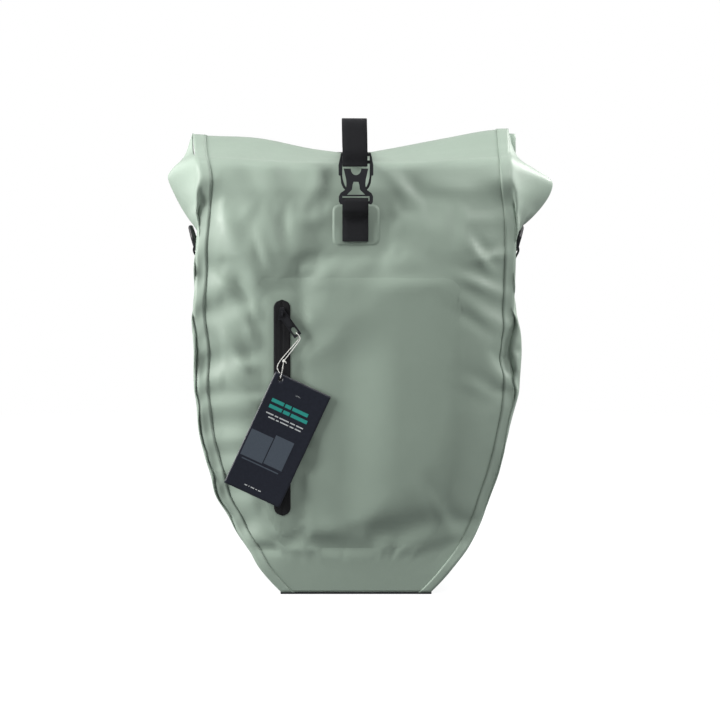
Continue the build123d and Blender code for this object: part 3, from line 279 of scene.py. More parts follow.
def floor_paint(name):
    """Matt floor that glows for the camera, so that it fades into the white backdrop."""
    n = Nodes(name)
    paint = n.ramp(n.noise(1.2, 2.0), (0.3, srgb(120, 121, 123)), (0.7, srgb(126, 127, 129)))
    seen = n.add("LightPath", "Is Camera Ray")
    away = n.add("VectorMath", "Value", {0: n.geo}, operation="LENGTH")
    glow = n.range(away, 0.84, 1.0, 0.4, 1.6)
    colour = n.mixed(n.range(away, 0.0, 1.0, 0.6, 2.4), paint, (0.0, 0.0, 0.0, 1.0))
    return n.finish(colour, 0.75, n.bump(n.noise(120.0), 0.05, 0.0005), Emission_Color=(1.0, 1.0, 1.0, 1.0),
                    Emission_Strength=n.math("MULTIPLY", seen, glow), Specular_IOR_Level=0.0)


MAT = {
    "fabric": tarpaulin("tarpaulin", srgb(154, 171, 158)),
    "fabric_lap": tarpaulin("tarpaulin_lap", srgb(159, 176, 163)),
    "fabric_patch": tarpaulin("tarpaulin_patch", srgb(152, 169, 156)),
    "webbing": webbing("strap_webbing", srgb(31, 32, 36)),
    "webbing_soft": webbing("pull_webbing", srgb(44, 46, 50)),
    "plastic": plastic("nylon_black", srgb(43, 44, 48)),
    "plastic_rail": plastic("nylon_rail", srgb(47, 48, 52), 0.5, 1200.0, 0.4),
    "plastic_buckle": plastic("acetal_buckle", srgb(30, 31, 35), 0.34, 1800.0, 0.15),
    "plastic_guard": plastic("nylon_guard", srgb(42, 43, 47), 0.52, 900.0, 0.5),
    "plastic_grey": plastic("nylon_grey", srgb(112, 109, 114), 0.42),
    "board": plastic("sheet_board", srgb(70, 70, 72), 0.5),
    "rubber": rubber("rubber_grip", srgb(54, 54, 59)),
    "rubber_handle": rubber("rubber_handle", srgb(58, 58, 62)),
    "steel": steel("steel_plated", (0.55, 0.55, 0.56)),
    "steel_dark": steel("steel_dark", (0.3, 0.3, 0.31)),
    "zip": webbing("zip_coated", srgb(28, 29, 32), 1500.0),
    "card": card("tag_card"),
    "teal": ink("ink_teal", srgb(45, 160, 150)),
    "white": ink("ink_white", srgb(205, 210, 212)),
    "slate": ink("ink_slate", srgb(78, 88, 100)),
    "string": cotton("tag_cord"),
    "floor": floor_paint("floor_paint"),
}


# ---- CAD pieces
CAD_LOOKS = {
    "plastic": ["zip_teeth", "support_arm", "clamp_knob"],
    "plastic_rail": ["upper_rail", "lower_rail"],
    "plastic_buckle": ["buckle_socket", "buckle_plug", "zip_slider", "zip_puller"],
    "plastic_guard": ["base_guard"],
    "plastic_grey": ["arm_insert"],
    "board": ["back_board", "roll_stiffener"],
    "steel": ["rail_nuts", "clamp_bolt"],
    "steel_dark": ["guard_rivets", "rail_screws", "clamp_nut"],
    "rubber_handle": ["handle_ends"],
}
PAIR_LOOKS = {"hook": "plastic", "hook_clip": "plastic_rail", "latch": "plastic_grey", "latch_pin": "steel",
              "latch_spring": "steel", "side_ring": "plastic_buckle"}
UNBEVELLED = ("latch_spring", "back_board", "roll_stiffener")  # too fine, or hidden
EDGE_ROUND = 0.35  # width of the bevel on moulded edges


def modify(obj, kind, name, **props):
    mod = obj.modifiers.new(name, kind)
    for key, value in props.items():
        setattr(mod, key, value)


def dress_cad():
    looks = {node: look for look, nodes in CAD_LOOKS.items() for node in nodes}
    looks.update({f"{part}_{side}": look for part, look in PAIR_LOOKS.items() for side, _ in SIDES})
    for node, look in looks.items():
        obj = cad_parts[node]
        obj.data.materials.clear()
        obj.data.materials.append(MAT[look])
        if not node.startswith(UNBEVELLED):
            modify(obj, "BEVEL", "soften", width=EDGE_ROUND * MM, segments=2, limit_method="ANGLE",
                   angle_limit=0.7)


dress_cad()


# ---- mesh helpers
def mesh_object(name, verts, faces):
    mesh = bpy.data.meshes.new(name)
    points = (np.asarray(verts, float) * MM).tolist()
    mesh.from_pydata(points, [], [tuple(int(i) for i in face) for face in faces])
    mesh.update()
    obj = bpy.data.objects.new(name, mesh)
    bpy.context.scene.collection.objects.link(obj)
    return obj


def make(name, verts, faces, material, body="bag", uvs=None):
    """A smooth piece that rides on a body and fills a material slot, where given."""
    obj = mesh_object(name, verts, faces)
    mesh = obj.data
    if uvs is not None:
        layer = mesh.uv_layers.new(name="UVMap")
        for loop in mesh.loops:
            layer.data[loop.index].uv = uvs[loop.vertex_index]
    mesh.shade_smooth()
    mesh.materials.append(MAT[material])
    if body:
        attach(obj, body)
    return obj


def edit_mesh(obj, change):
    bm = bmesh.new()
    bm.from_mesh(obj.data)
    change(bm)
    bm.to_mesh(obj.data)
    bm.free()


def outward(obj, inside):
    """Turns a sheet's faces away from the inside point."""
    centre = Vector(inside) * MM

    def turn(bm):
        bmesh.ops.recalc_face_normals(bm, faces=bm.faces)
        if sum((f.calc_center_median() - centre).dot(f.normal) * f.calc_area() for f in bm.faces) < 0:
            bmesh.ops.reverse_faces(bm, faces=bm.faces)

    edit_mesh(obj, turn)


def grid_faces(rows, cols, closed=False):
    """Quads between rows of points; closed joins the last column to the first."""
    faces = []
    for r in range(rows - 1):
        for c in range(cols if closed else cols - 1):
            d = (c + 1) % cols
            faces.append((r * cols + c, r * cols + d, (r + 1) * cols + d, (r + 1) * cols + c))
    return faces


def tube_faces(rings, cols):
    """Quads between rings of points, with a face over each end."""
    last = (rings - 1) * cols
    return grid_faces(rings, cols, True) + [tuple(range(cols))[::-1], tuple(last + k for k in range(cols))]


def unit(vectors):
    return vectors / np.linalg.norm(vectors, axis=-1, keepdims=True)


def tangents(line):
    return unit(np.gradient(line, axis=0))


def resample(points, step):
    """Catmull-Rom curve through the points in even steps, and the distance of each."""
    p = np.asarray(points, float)
    ext = np.vstack([2 * p[0] - p[1], p, 2 * p[-1] - p[-2]])
    out = []
    for a, b, c, d in zip(ext, ext[1:], ext[2:], ext[3:]):
        for t in np.linspace(0, 1, 24, endpoint=False):
            out.append(0.5 * (2 * b + (c - a) * t + (2 * a - 5 * b + 4 * c - d) * t * t
                              + (3 * b - a - 3 * c + d) * t ** 3))
    out = np.array(out + [p[-1]])
    dist = np.concatenate([[0], np.cumsum(np.linalg.norm(np.diff(out, axis=0), axis=1))])
    count = max(int(round(dist[-1] / step)), 2)
    marks = np.linspace(0, dist[-1], count + 1)
    return np.stack([np.interp(marks, dist, column) for column in out.T], axis=1), marks


def ribbon(name, path, across, width, thick, material, body, step):
    """Webbing along its centre line. across is the direction of its width."""
    count = len(path)
    widths = np.broadcast_to(np.reshape(width, (-1, 1)), (count, 1))
    data = np.hstack([np.asarray(path, float), np.broadcast_to(across, (count, 3)), widths])
    line, marks = resample(data, step)
    pos, side, wide = line[:, :3], line[:, 3:6], line[:, 6]
    tangent = tangents(pos)
    side = unit(side - (side * tangent).sum(1)[:, None] * tangent)
    normal = np.cross(side, tangent)
    half = [(-0.5, -0.25)] + [(a, -0.5) for a in (-0.47, -0.25, 0, 0.25, 0.47)] + [(0.5, -0.25)]
    section = half + [(-a, -b) for a, b in half]
    verts, uvs = [], []
    for p, s, n, w, mark in zip(pos, side, normal, wide, marks):
        verts += [p + s * a * w + n * b * thick for a, b in section]
        uvs += [(a * w, mark) for a, _ in section]
    obj = make(name, verts, tube_faces(len(pos), len(section)), material, body, uvs)
    modify(obj, "EDGE_SPLIT", "crisp", split_angle=0.9)
    return obj


def cord(name, points, radius, sides, step):
    """Round cotton cord along points."""
    line, _ = resample(points, step)
    any_way = np.array([0.31, 0.93, 0.17])  # never along the cord
    verts = []
    for p, t in zip(line, tangents(line)):
        a = unit(np.cross(t, any_way))
        b = np.cross(t, a)
        verts += [p + radius * (a * np.cos(turn) + b * np.sin(turn))
                  for turn in 2 * np.pi * np.arange(sides) / sides]
    return make(name, verts, tube_faces(len(line), sides), "string", "tag")


def quads(index):
    """Quads between the points of a grid of indices."""
    return [(index[r, c], index[r, c + 1], index[r + 1, c + 1], index[r + 1, c])
            for r in range(index.shape[0] - 1) for c in range(index.shape[1] - 1)]


def weld(grids):
    """The points of all grids without repeats, and each grid's indices into them."""
    found, points, indices = {}, [], []
    for grid in grids:
        index = np.zeros(grid.shape[:2], int)
        for cell in np.ndindex(index.shape):
            key = tuple(np.round(grid[cell], 2))
            if key not in found:
                found[key] = len(points)
                points.append(grid[cell])
            index[cell] = found[key]
        indices.append(index)
    return np.array(points), indices


# ---- bag shell: rows of points
PANEL_COLS = 50  # columns across a panel
GUSSET_COLS = 24  # columns across the gusset
BODY_ROWS = 50  # evenly spaced rows up the body
HOOD_ROWS = 16  # rows of the hood, up to the roll
LAP_COLS = 2  # columns across a weld strip
ROLL_BASE_Z = 63.2  # underside of the roll
EAR_PEAK, EAR_Y = 0.62, -100.0  # where the ears reach furthest: how far up the hood, and y
EARS = {-1: (36.0, 52.0, 0.4), 1: (48.0, 47.0, 0.85)}  # reach, z of the peak, how pointed


def panel_x(w, extra_left=0.0, extra_right=0.0):
    """x of each column of a panel of half width w."""
    body = np.linspace(-1, 1, PANEL_COLS - 2 * LAP_COLS + 1) * (w - LAP)
    xs = np.concatenate([[-w, -w + LAP * 0.5], body, [w - LAP * 0.5, w]])
    return xs + np.where(xs < 0, -extra_left * (-xs / w) ** 2, extra_right * (xs / w) ** 2)


def roll_size(x):
    """Height, depth and centre height of the roll, which swells towards its ends."""
    swell = ((1 - np.cos(np.pi * np.clip(np.abs(x), 0, SIDE_X) / SIDE_X)) / 2) ** 0.85
    side_lift = np.where(x > 0, 2.0, -2.5) * swell
    height = 17.5 + 22.0 * swell
    depth = 26.0 + 9.0 * swell
    return height, depth, ROLL_BASE_Z + height / 2 + side_lift + 0.8 * np.sin(x * 0.055)


def flat_row(z, y):
    """Row of a flat panel at a height."""
    return row(panel_x(half_width(z)), y, z)


def hood_front_row(t):
    """Front row of the hood at t from 0 (body) to 1 (roll), with a crease at knee."""
    w = lerp(SIDE_X, 152.0, smooth(t))
    xs = panel_x(w, 18.0 * smooth((t - 0.45) / 0.55), 6.0 * smooth((t - 0.5) / 0.5))
    height, _, centre = roll_size(xs)
    u = np.abs(xs) / w
    knee, knee_z = 0.84, 71.5
    knots = [0, 0.22, 0.45, 0.62, 0.70, knee, 1.0]
    y = np.interp(t, knots, [FRONT_Y, -184, -178.5, -169, -158, -112, -66])
    z_below = np.interp(t, knots, [HOOD_Z, 14, 42, 61, 67.5, knee_z, 0])
    z = np.where(t > knee, lerp(knee_z, centre + height / 2, (t - knee) / 0.16), z_below)
    rise = smooth((t - 0.45) / 0.45) * (1 - smooth((t - 0.93) / 0.07) * 0.6)
    z = z + rise * 8.0 * smooth((u - 0.3) / 0.7) * (1 if t < 1 else 0)
    return row(xs, y + 3.0 * smooth((u - 0.8) / 0.2) * smooth((t - 0.3) / 0.5), z)


def hood_back_row(t):
    """Back row of the hood, with two shallow dips along its top."""
    xs = panel_x(lerp(SIDE_X, 150.0, smooth(t)))
    knots = [0, 0.3, 0.6, 0.8, 0.9, 1.0]
    y = BACK_Y - np.interp(t, knots, [0, 0.5, 2, 5, 10, 26])
    z = np.interp(t, knots, [HOOD_Z, 12, 40, 56, 60.5, 62.0])
    dips = -13.0 * bell((xs + 126) / 34.0) - 3.0 * bell((xs - 40) / 60.0)
    return row(xs, y, z + smooth(t) * dips)


def gusset_row(front, back, ridge, pointed):
    """Points across the gusset from its front to its back corner, bent to the ridge."""
    s = np.linspace(0, 1, GUSSET_COLS + 1)[:, None]
    bend = 2 * ridge - (front + back) / 2
    curve = (1 - s) ** 2 * front + 2 * s * (1 - s) * bend + s ** 2 * back
    vee = np.where(s < 0.5, lerp(front, ridge, s * 2), lerp(ridge, back, s * 2 - 1))
    return lerp(curve, vee, pointed)


def side_row(sign, z, front, back):
    """Row of the gusset's flat side at a height."""
    bow = 1.5 * smooth((z - BOTTOM_Z) / 60)
    return gusset_row(front, back, np.array([sign * (half_width(z) - bow), MID_Y, z]), 0.0)


def ear_row(sign, t, front, back):
    """Row of the ear that the gusset folds out into."""
    reach, peak_z, pointed = EARS[sign]
    fall = lerp(1.0, 0.12, smooth((t - EAR_PEAK) / (1 - EAR_PEAK)))
    out = smooth(t / EAR_PEAK) if t < EAR_PEAK else fall
    edge = max(abs(front[0]), abs(back[0]))
    knots = [0, EAR_PEAK, 1.0]
    y = np.interp(t, knots, [MID_Y, EAR_Y, (front[1] + back[1]) / 2])
    z = np.interp(t, knots, [HOOD_Z, peak_z, 76.0])
    ridge = np.array([sign * (edge + reach * out - 1.5), y, z])
    return gusset_row(front, back, ridge, pointed * smooth(t / 0.3))


def body_heights():
    """Two close rows round the bottom edge, then even ones."""
    return np.concatenate([[BOTTOM_Z, BOTTOM_Z + 3.5], np.linspace(BOTTOM_Z + 9, HOOD_Z, BODY_ROWS)])


def shell_grids():
    """Grids of the panels, the gusset's sides and its bottom, before the cloth settles."""
    rows = [(z, flat_row(z, FRONT_Y), flat_row(z, BACK_Y), side_row) for z in body_heights()]
    hood = np.arange(1, HOOD_ROWS + 1) / HOOD_ROWS
    rows += [(t, hood_front_row(t), hood_back_row(t), ear_row) for t in hood]
    grids = {"front": [parts[1] for parts in rows], "back": [parts[2] for parts in rows]}
    for (name, sign), col in zip(SIDES, (0, -1)):
        grids[name] = [across(sign, place, front[col], back[col]) for place, front, back, across in rows]
    depths = np.linspace(0, 1, GUSSET_COLS + 1)
    grids["base"] = [flat_row(BOTTOM_Z, lerp(FRONT_Y, BACK_Y, s)) for s in depths]
    return {key: np.array(rows) for key, rows in grids.items()}


# ---- bag shell: the filled cloth
SIM_FRAMES = 22
SWELL_CAP = 9.0  # the cloth's moves are eased off towards this
CLOTH = {"quality": 6, "mass": 0.4, "tension_stiffness": 30, "compression_stiffness": 30,
         "shear_stiffness": 20, "bending_stiffness": 6.0, "use_pressure": True, "shrink_min": -0.012,
         "uniform_pressure_force": 1.6, "vertex_group_mass": "pin", "pin_stiffness": 1.0}


def near_zip(x, z, reach=26.0, fade=14.0, past=18.0, end_fade=16.0):
    """1 on the front's zip and 0 away from it."""
    across = smooth((reach - np.abs(x - ZIP_X)) / fade)
    return across * smooth((z - ZIP_Z0 + past) / end_fade) * smooth((ZIP_Z1 + past - z) / end_fade)


def pin_weights(points):
    """1 where the cloth is held by hardware, seams or the roll, 0 where it is free."""
    x, y, z = points.T
    pin = np.maximum(smooth(z / 45), 1 - smooth((z - BOTTOM_Z - 22) / 26))
    plate = (y > BACK_Y - 6) & (np.abs(x) < 146) & (z > -272) & (z < 0)
    pin = np.where(plate, 1.0, pin)
    anchor = smooth((40 - np.abs(x)) / 14) * smooth((z + 32) / 14)
    pin = np.where(y < FRONT_Y + 6, np.maximum(pin, np.maximum(near_zip(x, z), anchor)), pin)
    tab = (np.abs(x) > 150) & (np.abs(y - MID_Y) < 16) & (z > -66) & (z < 0)
    return np.where(tab, 1.0, pin)


def inflate(points, faces):
    obj = mesh_object("sim", points, faces)
    outward(obj, INSIDE)
    group = obj.vertex_groups.new(name="pin")
    for i, weight in enumerate(pin_weights(points)):
        group.add([i], float(weight), "REPLACE")
    cloth = obj.modifiers.new("Cloth", "CLOTH")
    for key, value in CLOTH.items():
        setattr(cloth.settings, key, value)
    cloth.settings.effector_weights.gravity = 0.0
    cloth.point_cache.frame_end = SIM_FRAMES
    scene = bpy.context.scene
    for number in range(1, SIM_FRAMES + 1):
        scene.frame_set(number)
    result = obj.evaluated_get(bpy.context.evaluated_depsgraph_get()).data
    moved = np.array([v.co[:] for v in result.vertices]) / MM
    scene.frame_set(1)
    bpy.data.objects.remove(obj)
    return moved


def filled(points, faces):
    """Where the points come to rest when the bag is full."""
    moved = inflate(points, faces) - points
    length = np.linalg.norm(moved, axis=1)
    moved *= (SWELL_CAP * np.tanh(length / SWELL_CAP) / np.maximum(length, 1e-6))[:, None]
    return points + moved * (1 - pin_weights(points))[:, None]


# ---- bag shell: creases and edges
# Creases pressed into the cloth: (x, z) of both ends, half width and depth; the sign gives dent or ridge.
FRONT_CREASES = [
    (-66, 72, -26, 70, 4.5, 2.6), (-97, 88, -72, 44, 10, 2.4), (-40, 70, -34, 36, 8, 1.6),
    (-30, 60, -60, 6, 8, 1.3), (-118, 66, -88, 26, 10, -2), (-140, 34, -118, -24, 10, 2.4),
    (-126, -34, -98, -92, 9, -2.2), (-150, -40, -112, -72, 6, 2.6), (-136, -96, -104, -150, 8, 2),
    (-104, -66, -94, -92, 4, 1.6), (-112, -88, -100, -112, 4.5, 1.8), (-124, -128, -104, -142, 4.5, 1.8),
    (-128, -150, -98, -176, 5, 1.4), (12, 69, 44, 81, 4.5, 2.4), (44, 81, 108, 87, 5, 2.2),
    (26, 64, 64, 22, 7, 2.2), (38, 44, 112, 26, 9, -1.6), (108, -8, 136, -42, 5, 3),
    (120, -30, 154, -24, 5, 2.4), (96, -44, 150, -66, 6, 2.4), (90, -70, 140, -108, 7, -2),
    (104, -150, 146, -172, 7, 1.8), (-60, -300, 40, -316, 8, 1.8), (-70, -318, -104, -311, 4.5, 2.2),
    (60, -250, 100, -310, 7, 1.8), (-100, -240, -84, -310, 7, -1.6), (10, -60, 90, -52, 7, 1),
    (-20, -20, -60, -60, 7, -1.4), (-84, 10, -74, -26, 6, 1.8), (-104, -6, -92, -40, 5, -1.8),
]
BACK_CREASES = [
    (60, 50, 100, 4, 9, 2), (-50, 52, -96, 16, 9, 2.2), (-20, 20, -50, -10, 7, -1.2),
    (110, -90, 146, -130, 9, 1.6), (-120, -96, -148, -150, 9, 1.6), (-60, -130, 40, -180, 14, -1.4),
    (80, -290, 108, -318, 8, 1.4), (-110, -280, -84, -316, 8, 1.4), (126, 30, 146, -20, 8, 1.8),
]
FRONT_LIMIT_Y = -196.0  # the front stays behind this plane
TAG_LIMIT_Y = -187.6  # and behind this one where the tag hangs


def crease_depth(x, z, creases):
    """Summed depth of soft creases, as ridges with a dent beside them."""
    total = np.zeros_like(x)
    for x0, z0, x1, z1, wide, depth in creases:
        length = np.hypot(x1 - x0, z1 - z0)
        dx, dz = (x1 - x0) / length, (z1 - z0) / length
        along = (x - x0) * dx + (z - z0) * dz
        off = (x - x0) * -dz + (z - z0) * dx
        fade = np.exp(-(((along - length / 2) / (length * 0.55)) ** 2) * 1.6)
        total += depth * fade * (bell(off / wide) - 0.7 * bell((off - 1.5 * wide) / (1.3 * wide)))
    return total


def press(points):
    """Presses in creases, uneven weld lines and ripples, where the cloth is free."""
    x, y, z = points.T
    left = x < 0
    half = half_widths(z)
    free = 1 - pin_weights(points) * np.where(z > 5, 0.0, 1.0)
    free_panel = free * smooth((half - np.abs(x) - 1) / 12)
    dent = 1.1 * crease_depth(x, z, FRONT_CREASES) * smooth((FRONT_Y + 60 - y) / 40)
    swell = np.minimum(crease_depth(x, z, BACK_CREASES), 3) * smooth((y - BACK_Y + 12) / 8)

    seam = (np.abs(np.abs(x) - 150) < 14) & (z < 90) & (y < FRONT_Y + 30)
    wave = np.sin(z * 0.071 + 0.4) * np.sin(z * 0.023 + 1.1)
    wave += 0.5 * np.sin(z * 0.19 + 2.0) * np.sin(z * 0.031)
    pucker = np.where(seam, np.where(left, 0.9, 0.25) * wave * free, 0)

    body = smooth((z - BOTTOM_Z - 8) / 30) * (1 - smooth((z - 40) / 40))
    wander = 1.7 * np.sin(z * 0.036 + 0.8) + 1.3 * np.sin(z * 0.083 + 2.1) * np.sin(z * 0.017)
    wander += 0.7 * np.sin(z * 0.17) * smooth((-z - 210) / 60)
    near_edge = smooth((np.abs(x) - half + 46) / 36) * smooth((FRONT_Y + 70 - y) / 60)

    side = (1 - smooth(np.abs(y - MID_Y) / 70)) * (np.abs(x) > half_width(-100) - 4)
    ripple = np.sin(z * 0.041 + 0.9 * np.sin(y * 0.05)) * np.sin((y - MID_Y) * 0.045 + z * 0.012)
    bulge = np.sign(x) * side * 1.3 * ripple * (1 - smooth((z + 40) / 30))

    shift_x = np.where(left, wander, 0.3 * wander) * body * near_edge + bulge
    shift_y = (swell - dent) * free_panel + pucker
    return row(x + shift_x, y + shift_y, z)


def settle(points):
    """Fills out the front, turns its edges back and keeps it clear of the tag."""
    x, y, z = points.T
    half = half_widths(z)
    front = smooth((FRONT_Y + 14 - y) / 10) * (1 - smooth((z - 20) / 50))
    above_base = smooth((z - BOTTOM_Z - 20) / 60)
    fill = bell((x - 34) / 62) * bell((z + 165) / 120) * (1 - near_zip(x, z))
    turn = smooth((np.abs(x) - 0.56 * half) / (0.44 * half))
    new_y = y + (15.0 * turn ** 1.6 - 6.5 * fill) * front * above_base
    behind_tag = smooth((122 - np.abs(x + 79)) / 58) * smooth((132 - np.abs(z + 210)) / 60) * front
    over = np.maximum(lerp(FRONT_LIMIT_Y, TAG_LIMIT_Y, behind_tag) - new_y, 0)
    new_y = np.where(y < -150, new_y + over - 0.9 * np.tanh(over / 2.5), new_y)
    return row(x, new_y, z)


def refine(grid):
    """Twice as many rows and columns, on a smooth curve through the old ones."""
    for axis in (0, 1):
        old = np.moveaxis(grid, axis, 0)
        ends = np.concatenate([2 * old[:1] - old[1:2], old, 2 * old[-1:] - old[-2:-1]])
        fine = np.zeros((2 * len(old) - 1,) + old.shape[1:])
        fine[0::2] = old
        fine[1::2] = (9 * (ends[1:-2] + ends[2:-1]) - ends[:-3] - ends[3:]) / 16
        grid = np.moveaxis(fine, 0, axis)
    return grid


def settled_blocks():
    """The shell's grids, filled, refined and creased."""
    grids = shell_grids()
    points, indices = weld(grids.values())
    points = filled(points, [quad for index in indices for quad in quads(index)])
    blocks = {}
    for key, index in zip(grids, indices):
        fine = refine(points[index])
        blocks[key] = settle(press(fine.reshape(-1, 3))).reshape(fine.shape)
    return blocks


# ---- bag shell: the roll
TURNS = 2.35  # how often the closure is rolled up
ROLL_ROWS = 84
EASED_ROWS = 8  # last hood rows that are bent onto the roll


def roll_row(k, top_x):
    """Row of the roll at k from 0 to 1 along its inward spiral."""
    angle = np.pi / 2 - 2 * np.pi * TURNS * k
    spread = lerp(1.0, 1.055, smooth((k * TURNS - 0.55) / 0.3))
    narrow = lerp(1.0, 0.985, smooth(k * TURNS / 1.1))
    xs = top_x * np.where(top_x > 0, spread, narrow)
    height, depth, centre = roll_size(xs)
    shrink = 1 - 0.62 * k ** 0.85
    uneven = shrink * (1 + 0.05 * np.sin(3 * angle + 1.0))
    sag = 0.9 * np.sin(xs * 0.045 + angle) * shrink
    pinch = 2.2 * bell(xs / 17.0) * np.maximum(np.sin(angle), 0) * shrink
    y = ROLL_Y + depth / 2 * np.cos(angle) * uneven + sag
    z = centre + height / 2 * np.sin(angle) * uneven - pinch + 0.5 * np.sin(xs * 0.07 + 2 * angle)
    return row(xs, y, z)


def ease_onto_roll(front, first):
    for step in range(EASED_ROWS):
        heights = front[-1 - step, :, 2]
        target = first[:, 2] - 0.35 * step ** 1.4
        heights[:] = lerp(heights, target, (1 - step / (EASED_ROWS + 1)) * 0.85)


def sheet(name, grids, material, thick, lift=0.0):
    """One welded sheet of cloth from grids of points."""
    points, indices = weld(grids)
    faces = [quad for index in indices for quad in quads(index) if len(set(quad)) == 4]
    obj = make(name, points, faces, material, "bag")
    outward(obj, INSIDE)
    if lift:
        modify(obj, "DISPLACE", "lift", strength=lift * MM, mid_level=0.0)
    modify(obj, "SOLIDIFY", "cloth", thickness=thick * MM, offset=-1.0)
    return obj


def shell(blocks):
    """Front with the roll, back, and the gusset with its weld strips on both."""
    roll_rows = [roll_row(i / ROLL_ROWS, blocks["front"][-1][:, 0]) for i in range(1, ROLL_ROWS + 1)]
    ease_onto_roll(blocks["front"], roll_rows[0])
    front = np.concatenate([blocks["front"], roll_rows])
    back = blocks["back"]
    lap = 2 * LAP_COLS
    between = slice(lap - 2, 2 - lap)
    panels = (("front", front, ["front_panel", "rolled_top"]), ("back", back, ["back_panel"]))
    for name, grid, nodes in panels:
        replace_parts(sheet(f"shell_{name}", [grid[:, between]], "fabric", 1.0), *nodes)
    strips = [grid[:, cols] for grid in (front, back) for cols in (slice(lap + 1), slice(-lap - 1, None))]
    sides = [blocks[key] for key in ("left", "right", "base")]
    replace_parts(sheet("shell_gusset", sides + strips, "fabric_lap", 0.9, 0.85), "gusset")


blocks = settled_blocks()
shell(blocks)


# ---- patches on the front
RISING_ROWS = 2 * len(body_heights()) + HOOD_ROWS  # refined rows that lie one above the other
front_rows = blocks["front"][:RISING_ROWS]


def front_y(x, z):
    """y of the front panel at (x, z)."""
    zs = front_rows[:, PANEL_COLS, 2]
    r = np.clip(np.searchsorted(zs, z) - 1, 0, RISING_ROWS - 2)
    f = np.clip((z - zs[r]) / (zs[r + 1] - zs[r]), 0, 1)
    across = lerp(front_rows[r], front_rows[r + 1], f)
    return np.interp(x, across[:, 0], across[:, 1])


def patch(name, outline, count, lift, centre):
    """A patch on the front. outline(angle) is its edge; lift(x, z, k) its height, k from middle to edge."""
    rings = 26
    verts = []
    for k in np.arange(rings + 1) / rings:
        for c in range(count):
            edge_x, edge_z = outline(2 * np.pi * c / count)
            x, z = lerp(centre[0], edge_x, k), lerp(centre[1], edge_z, k)
            verts.append((x, front_y(x, z) - lift(x, z, k), z))
    obj = make(name, verts, grid_faces(rings + 1, count, True), "fabric_patch", "bag")

    edit_mesh(obj, lambda bm: bmesh.ops.remove_doubles(bm, verts=bm.verts, dist=1e-6))
    outward(obj, INSIDE)
    return obj


def rounded_box(half_w, half_h, radius):
    """Outline of a rounded rectangle about (0, 0): the edge point at an angle."""
    corner = np.array([half_w - radius, half_h - radius])

    def edge(angle):
        way = np.array([np.cos(angle), np.sin(angle)])
        reach = min(half_w / max(abs(way[0]), 1e-9), half_h / max(abs(way[1]), 1e-9))
        if np.all(np.abs(way) * reach > corner):
            along = np.abs(way) @ corner
            reach = along + np.sqrt(along ** 2 - corner @ corner + radius ** 2)
        return way * reach

    return edge


def pocket():
    """The pocket panel, narrower towards the bottom and raised along the zip."""
    middle_z = -184.0
    box = rounded_box(105.0, 136.0, 17.0)

    def outline(angle):
        x, z = box(angle)
        return x * (1 - 0.24 * smooth((-z - 40) / 96)), z + middle_z

    def lift(x, z, k):
        sheet_lift = (0.3 + 0.45 * smooth((z + 80) / 24)) * smooth((1 - k) / 0.045)
        return sheet_lift + 1.8 * near_zip(x, z, 22, 12, 12, 10)

    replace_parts(patch("pocket_patch", outline, 220, lift, (0.0, middle_z)), "pocket_panel")


def anchor_patch():
    """The small patch under the buckle's anchor."""
    middle_z = 4.5
    box = rounded_box(23.5, 20.5, 6.0)
    cloth = patch("anchor_patch_cloth", lambda angle: box(angle) + np.array([0, middle_z]), 96,
                  lambda x, z, k: 0.85 * smooth((1 - k) / 0.08), (0.0, middle_z))
    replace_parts(cloth, "anchor_patch")


def zip_strip():
    """Coated zip tape with rounded ends, a centre groove and a line along each edge."""
    half, tape_y, edge_line = 8.4, -187.55, 6.6
    heights = np.linspace(ZIP_Z0, ZIP_Z1, 110)
    shares = np.linspace(-1, 1, 13)
    verts = []
    for z in heights:
        end = min(z - ZIP_Z0, ZIP_Z1 - z)
        wide = half * np.sqrt(max(1 - (1 - min(end / half, 1)) ** 2, 0.0004))
        for s in shares:
            groove = 0.5 * bell(s * half / 0.55) - 0.35 * bell((abs(s) * half - edge_line) / 0.5)
            verts.append((ZIP_X + s * wide, tape_y - 0.15 * (1 - s * s) + groove, z))
    obj = make("zip_cloth", verts, grid_faces(len(heights), len(shares)), "zip", "bag",
               [(x, z) for x, _, z in verts])
    outward(obj, (ZIP_X, 0, -180))
    modify(obj, "SOLIDIFY", "tape", thickness=0.6 * MM, offset=-1.0)
    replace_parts(obj, "zip_tape")


pocket()
anchor_patch()
zip_strip()


# ---- straps
STRAP_WIDTH = 25.0


def strap(name, node, path, thick, step, width=STRAP_WIDTH, across=X_AXIS, body="bag"):
    """Webbing in place of a CAD strap."""
    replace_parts(ribbon(name, path, across, width, thick, "webbing", body, step), node)


def closure():
    """Webbing from the upper rail over the roll to the buckle."""
    height, _, centre = roll_size(0.0)
    top = float(centre + height / 2)
    path = [(0, -10.8, -46), (0, -10.9, -34), (0, -13.5, -25), (0, -18.0, -14), (0, -18.6, 10),
            (0.5, -19.4, 40), (0.5, -22.0, 56), (0, -29.0, 63), (0, -36.0, 70), (0, -42.0, top - 4),
            (-0.5, ROLL_Y, top + 0.2), (-1, -72.0, top + 1.5), (-1, -104, top - 2), (-1, -138, 75),
            (-1, -157, 71), (-1, -176, 68.5), (-1, -185.9, 68), (-1, -186.3, 64)]
    strap("closure_webbing", "closure_strap", path, 1.4, 2.5)
    stitches("closure_stitches", [(x, -9.95, z) for z in (-44, -37.5) for x in np.linspace(-10, 10, 9)])


def stitches(name, spots):
    """Short thread ticks along X, lying on webbing."""
    section = ((-0.22, 0), (0, 0.2), (0.22, 0))
    verts, faces = [], []
    for spot in np.array(spots):
        faces += [tuple(len(verts) + i for i in face) for face in grid_faces(4, 3)]
        for along, arch in ((-1, 0), (-0.3, 0.28), (0.3, 0.28), (1, 0)):
            verts += [spot + (along, arch + up, side) for side, up in section]
    make(name, verts, faces, "webbing_soft", "bag")


